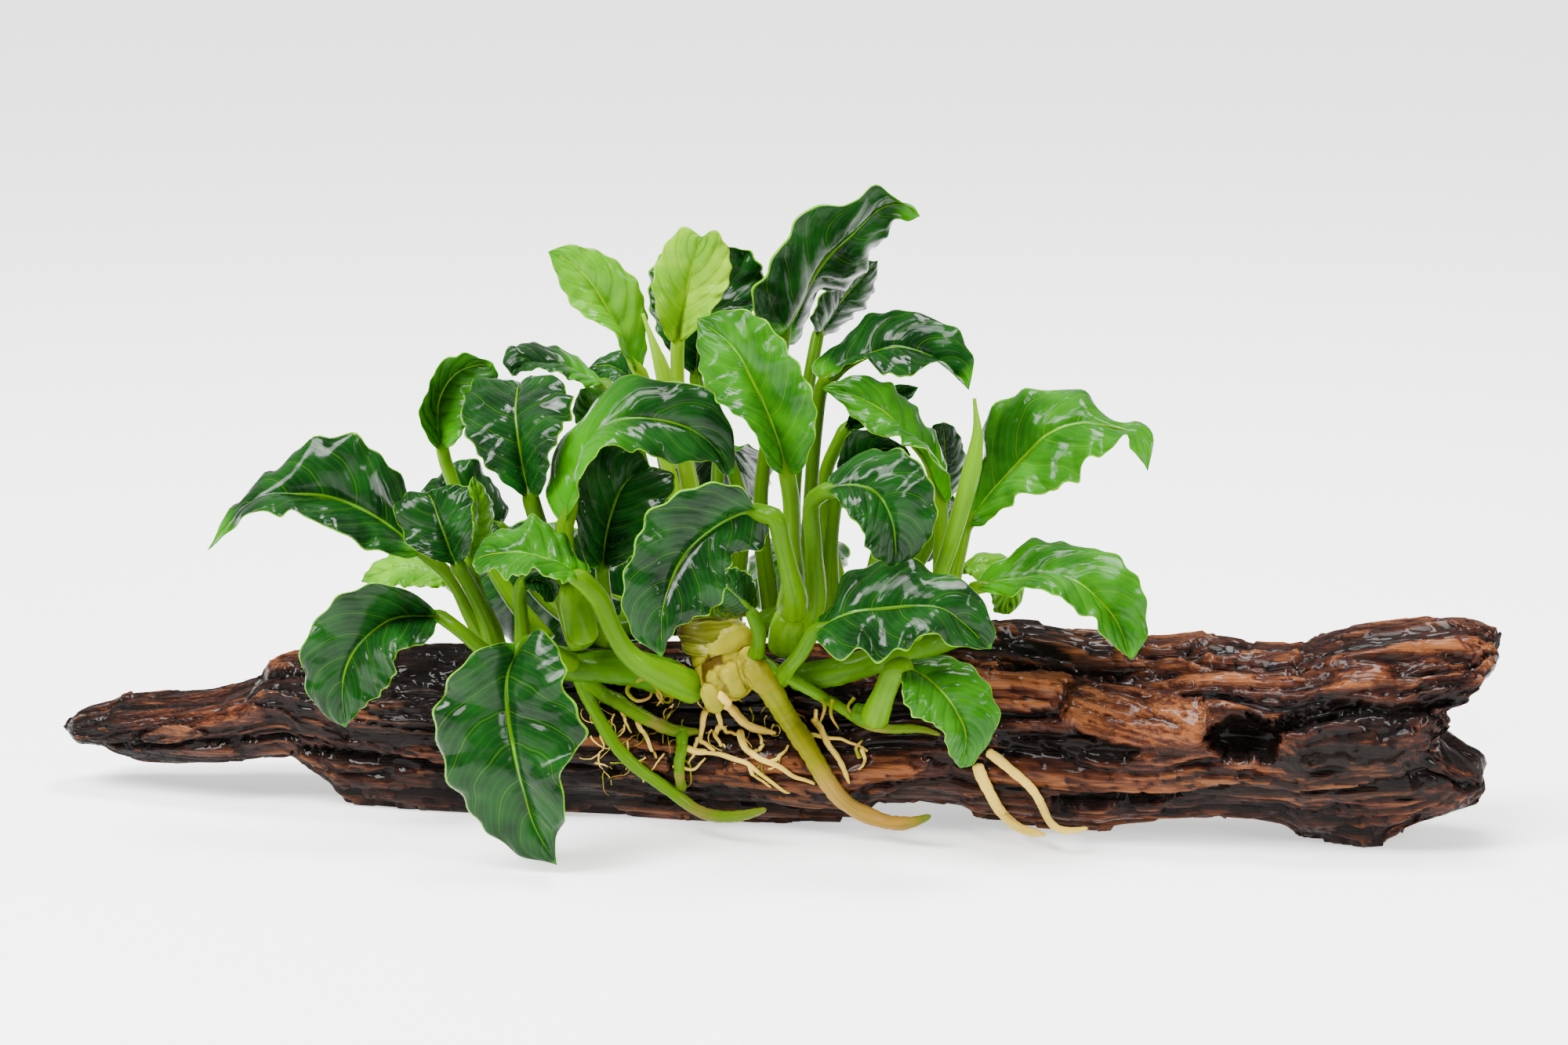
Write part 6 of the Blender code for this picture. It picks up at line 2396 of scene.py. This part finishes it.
@dataclass
class FineRoots:
    """The thin branching roots, curls and root hairs on the front of the wood."""

    materials: Materials
    hairs: int = 55
    first_field_share: float = 0.9
    stride: float = 2.6
    around: int = 7

    def strand(self, line: Sequence[Vector], radius_mm: float, skin: int) -> bmesh.types.BMesh:
        """Makes one thin strand along a line.

        Args:
            line: the strand's middle line.
            radius_mm: its radius in millimetres.
            skin: its faces' material index.

        Returns:
            The closed strand.
        """

        def radius(part_round: float, part_along: float) -> float:
            """Thinner to the tip."""
            return radius_mm * MM * (1 - 0.6 * part_along)

        return tube(line, radius, self.around, len(line) - 1, skin)

    def build(self, wood: BVHTree, rng: random.Random) -> None:
        """Makes all the strands.

        Args:
            wood: the wood's surface.
            rng: where the hairs come from.
        """
        parts = []
        for radius_mm, places in FINE_ROOTS:
            line = []
            for place in evenly(smooth_through([Vector(place) for place in places]), 26):
                point, normal = on_surface(wood, place.x, place.y)
                line.append(point + normal * radius_mm * 0.8 * MM)
            parts.append(self.strand(evenly(smooth_through(evenly(line, 12), 3), 30), radius_mm, 0))
        for radius_mm, places in CURLS:
            line = evenly(seen_line(places), 26)
            parts.append(self.strand(line, radius_mm, 1))
        for _ in range(self.hairs):
            is_first = rng.random() < self.first_field_share
            left, right, top, bottom = HAIR_FIELDS[0 if is_first else 1]
            across, down = rng.uniform(left, right), rng.uniform(top, bottom)
            angle = rng.gauss(math.pi / 2, 0.9)
            bend = rng.gauss(0, 0.12)
            line = []
            for _ in range(rng.randint(10, 24)):
                point, normal = on_surface(wood, across, down)
                if point is None:
                    break
                line.append(point + normal * rng.uniform(0.05, 0.35) * MM)
                across += math.cos(angle) * self.stride
                down += math.sin(angle) * self.stride
                angle += bend + rng.gauss(0, 0.16)
            if len(line) > 5:
                parts.append(self.strand(line, rng.uniform(0.10, 0.24), rng.choice((0, 0, 1))))
        skins = [self.materials.rinds[rind] for rind in (Rind.OLD_ROOT, Rind.ROOT)]
        add_piece("fine_roots", joined(parts), skins)


# Panels of light: name, place and size in metres, power in watts
LAMPS = (
    ("key", (-0.55, -0.55, 0.75), (0.30, 0.40), 22.0),
    ("fill", (0.80, -0.60, 0.45), (0.20, 0.34), 8.5),
    ("top", (0.10, 0.15, 0.95), (0.34, 0.26), 16.0),
)


@dataclass
class Studio:
    """A pale floor and soft studio light."""

    floor_size: float = 14.0
    aim: tuple[float, float, float] = (0.0, 0.0, 0.06)
    sky_power: float = 4.4

    def add_light(self, name: str, place: Place, size: Corner, power: float) -> None:
        """Adds a soft panel of light that faces the plant.

        Args:
            name: the light's name.
            place: where it hangs, in metres.
            size: its width and height in metres.
            power: its strength in watts.
        """
        lamp = bpy.data.lights.new(name, "AREA")
        lamp.shape = "RECTANGLE"
        lamp.size, lamp.size_y = size
        lamp.energy = power
        rig = placed(name, lamp)
        rig.location = place
        aim = Vector(self.aim) - Vector(place)
        rig.rotation_euler = aim.to_track_quat("-Z", "Y").to_euler()

    def build(self) -> None:
        """Makes the floor, the world and the lights."""
        work = bmesh.new()
        bmesh.ops.create_grid(work, x_segments=1, y_segments=1, size=self.floor_size / 2)
        mesh = bpy.data.meshes.new("floor")
        work.to_mesh(mesh)
        work.free()
        mesh.materials.append(StudioPaper().build())
        floor = placed("floor", mesh)
        world = bpy.data.worlds.new("studio")
        world.use_nodes = True
        tree = world.node_tree
        add = partial(add_node, tree)
        way = add("SeparateXYZ", {0: add("TexCoord").outputs["Generated"]})
        up, deep = way.outputs[2], way.outputs[1]
        raised = add("Math", {0: up, 1: 0.6, 2: deep}, operation="MULTIPLY_ADD")
        glow = add("MapRange", {0: raised, 1: -0.7, 2: 0.6, 3: 0.08, 4: 0.75})
        fill(tree, tree.nodes["Background"], {"Color": "#ffffff", "Strength": glow})
        bpy.context.scene.world = world
        sun = bpy.data.lights.new("sky_panel", "SUN")
        sun.energy = self.sky_power
        sun.angle = math.radians(24)
        rig = placed("sky_panel", sun)
        rig.rotation_euler = (math.radians(22), math.radians(-14), 0.0)
        for lamp in LAMPS:
            self.add_light(*lamp)


def main() -> None:
    """Builds the plant, its wood and the studio, in order."""
    logging.basicConfig(level=logging.INFO, format="%(name)s %(message)s")
    materials = Materials()
    materials.build()
    wood = Wood(materials)
    wood.build()
    for name, (radii, places) in RHIZOMES.items():
        if name == "rhizome_crown":
            Crown(materials.rinds[Rind.CROWN]).build()
        elif name in SMOOTH_STEMS:
            skin = materials.stalks[Shade.MIDDLE]
            Stem(name, radii, places, skin, lump=SMOOTH_LUMP).build([wood.tree])
        else:
            skin = materials.rinds[Rind.SCARRED if name == "rhizome_left" else Rind.RHIZOME]
            Stem(name, radii, places, skin).build([wood.tree])
    skin = materials.stalks[Shade.BRIGHT]
    Stem("sheath_left", SHEATH_RADII, SHEATH, skin, lump=SMOOTH_LUMP).build([wood.tree])
    stems = [node_tree_of(name) for name in RHIZOMES if name != "rhizome_offshoot"]
    for name, (radii, on_wood, free) in ROOTS.items():
        rind = Rind.ROOT if name == "root_main" else Rind.GREEN_ROOT
        skin = materials.rinds[Rind.OLD_ROOT if name in TAN_ROOTS else rind]
        head = ROOT_HEADS.get(name, ())
        Root(name, radii, on_wood, free, skin, head).build(wood.tree, [] if head else stems)
    rng = random.Random(PLANT_SEED)
    for name, form in LEAVES.items():
        LeafPiece(name, form, materials).build(rng)
    for name, places in SPEARS.items():
        shade = Shade.BRIGHT if name == "spear_right" else Shade.YOUNG
        Spear(name, places, materials.stalks[shade]).build()
    Husks(materials.rinds[Rind.HUSK]).build()
    FineRoots(materials).build(wood.tree, rng)
    Studio().build()
    VIEW.add_camera()


if __name__ == "__main__":
    main()
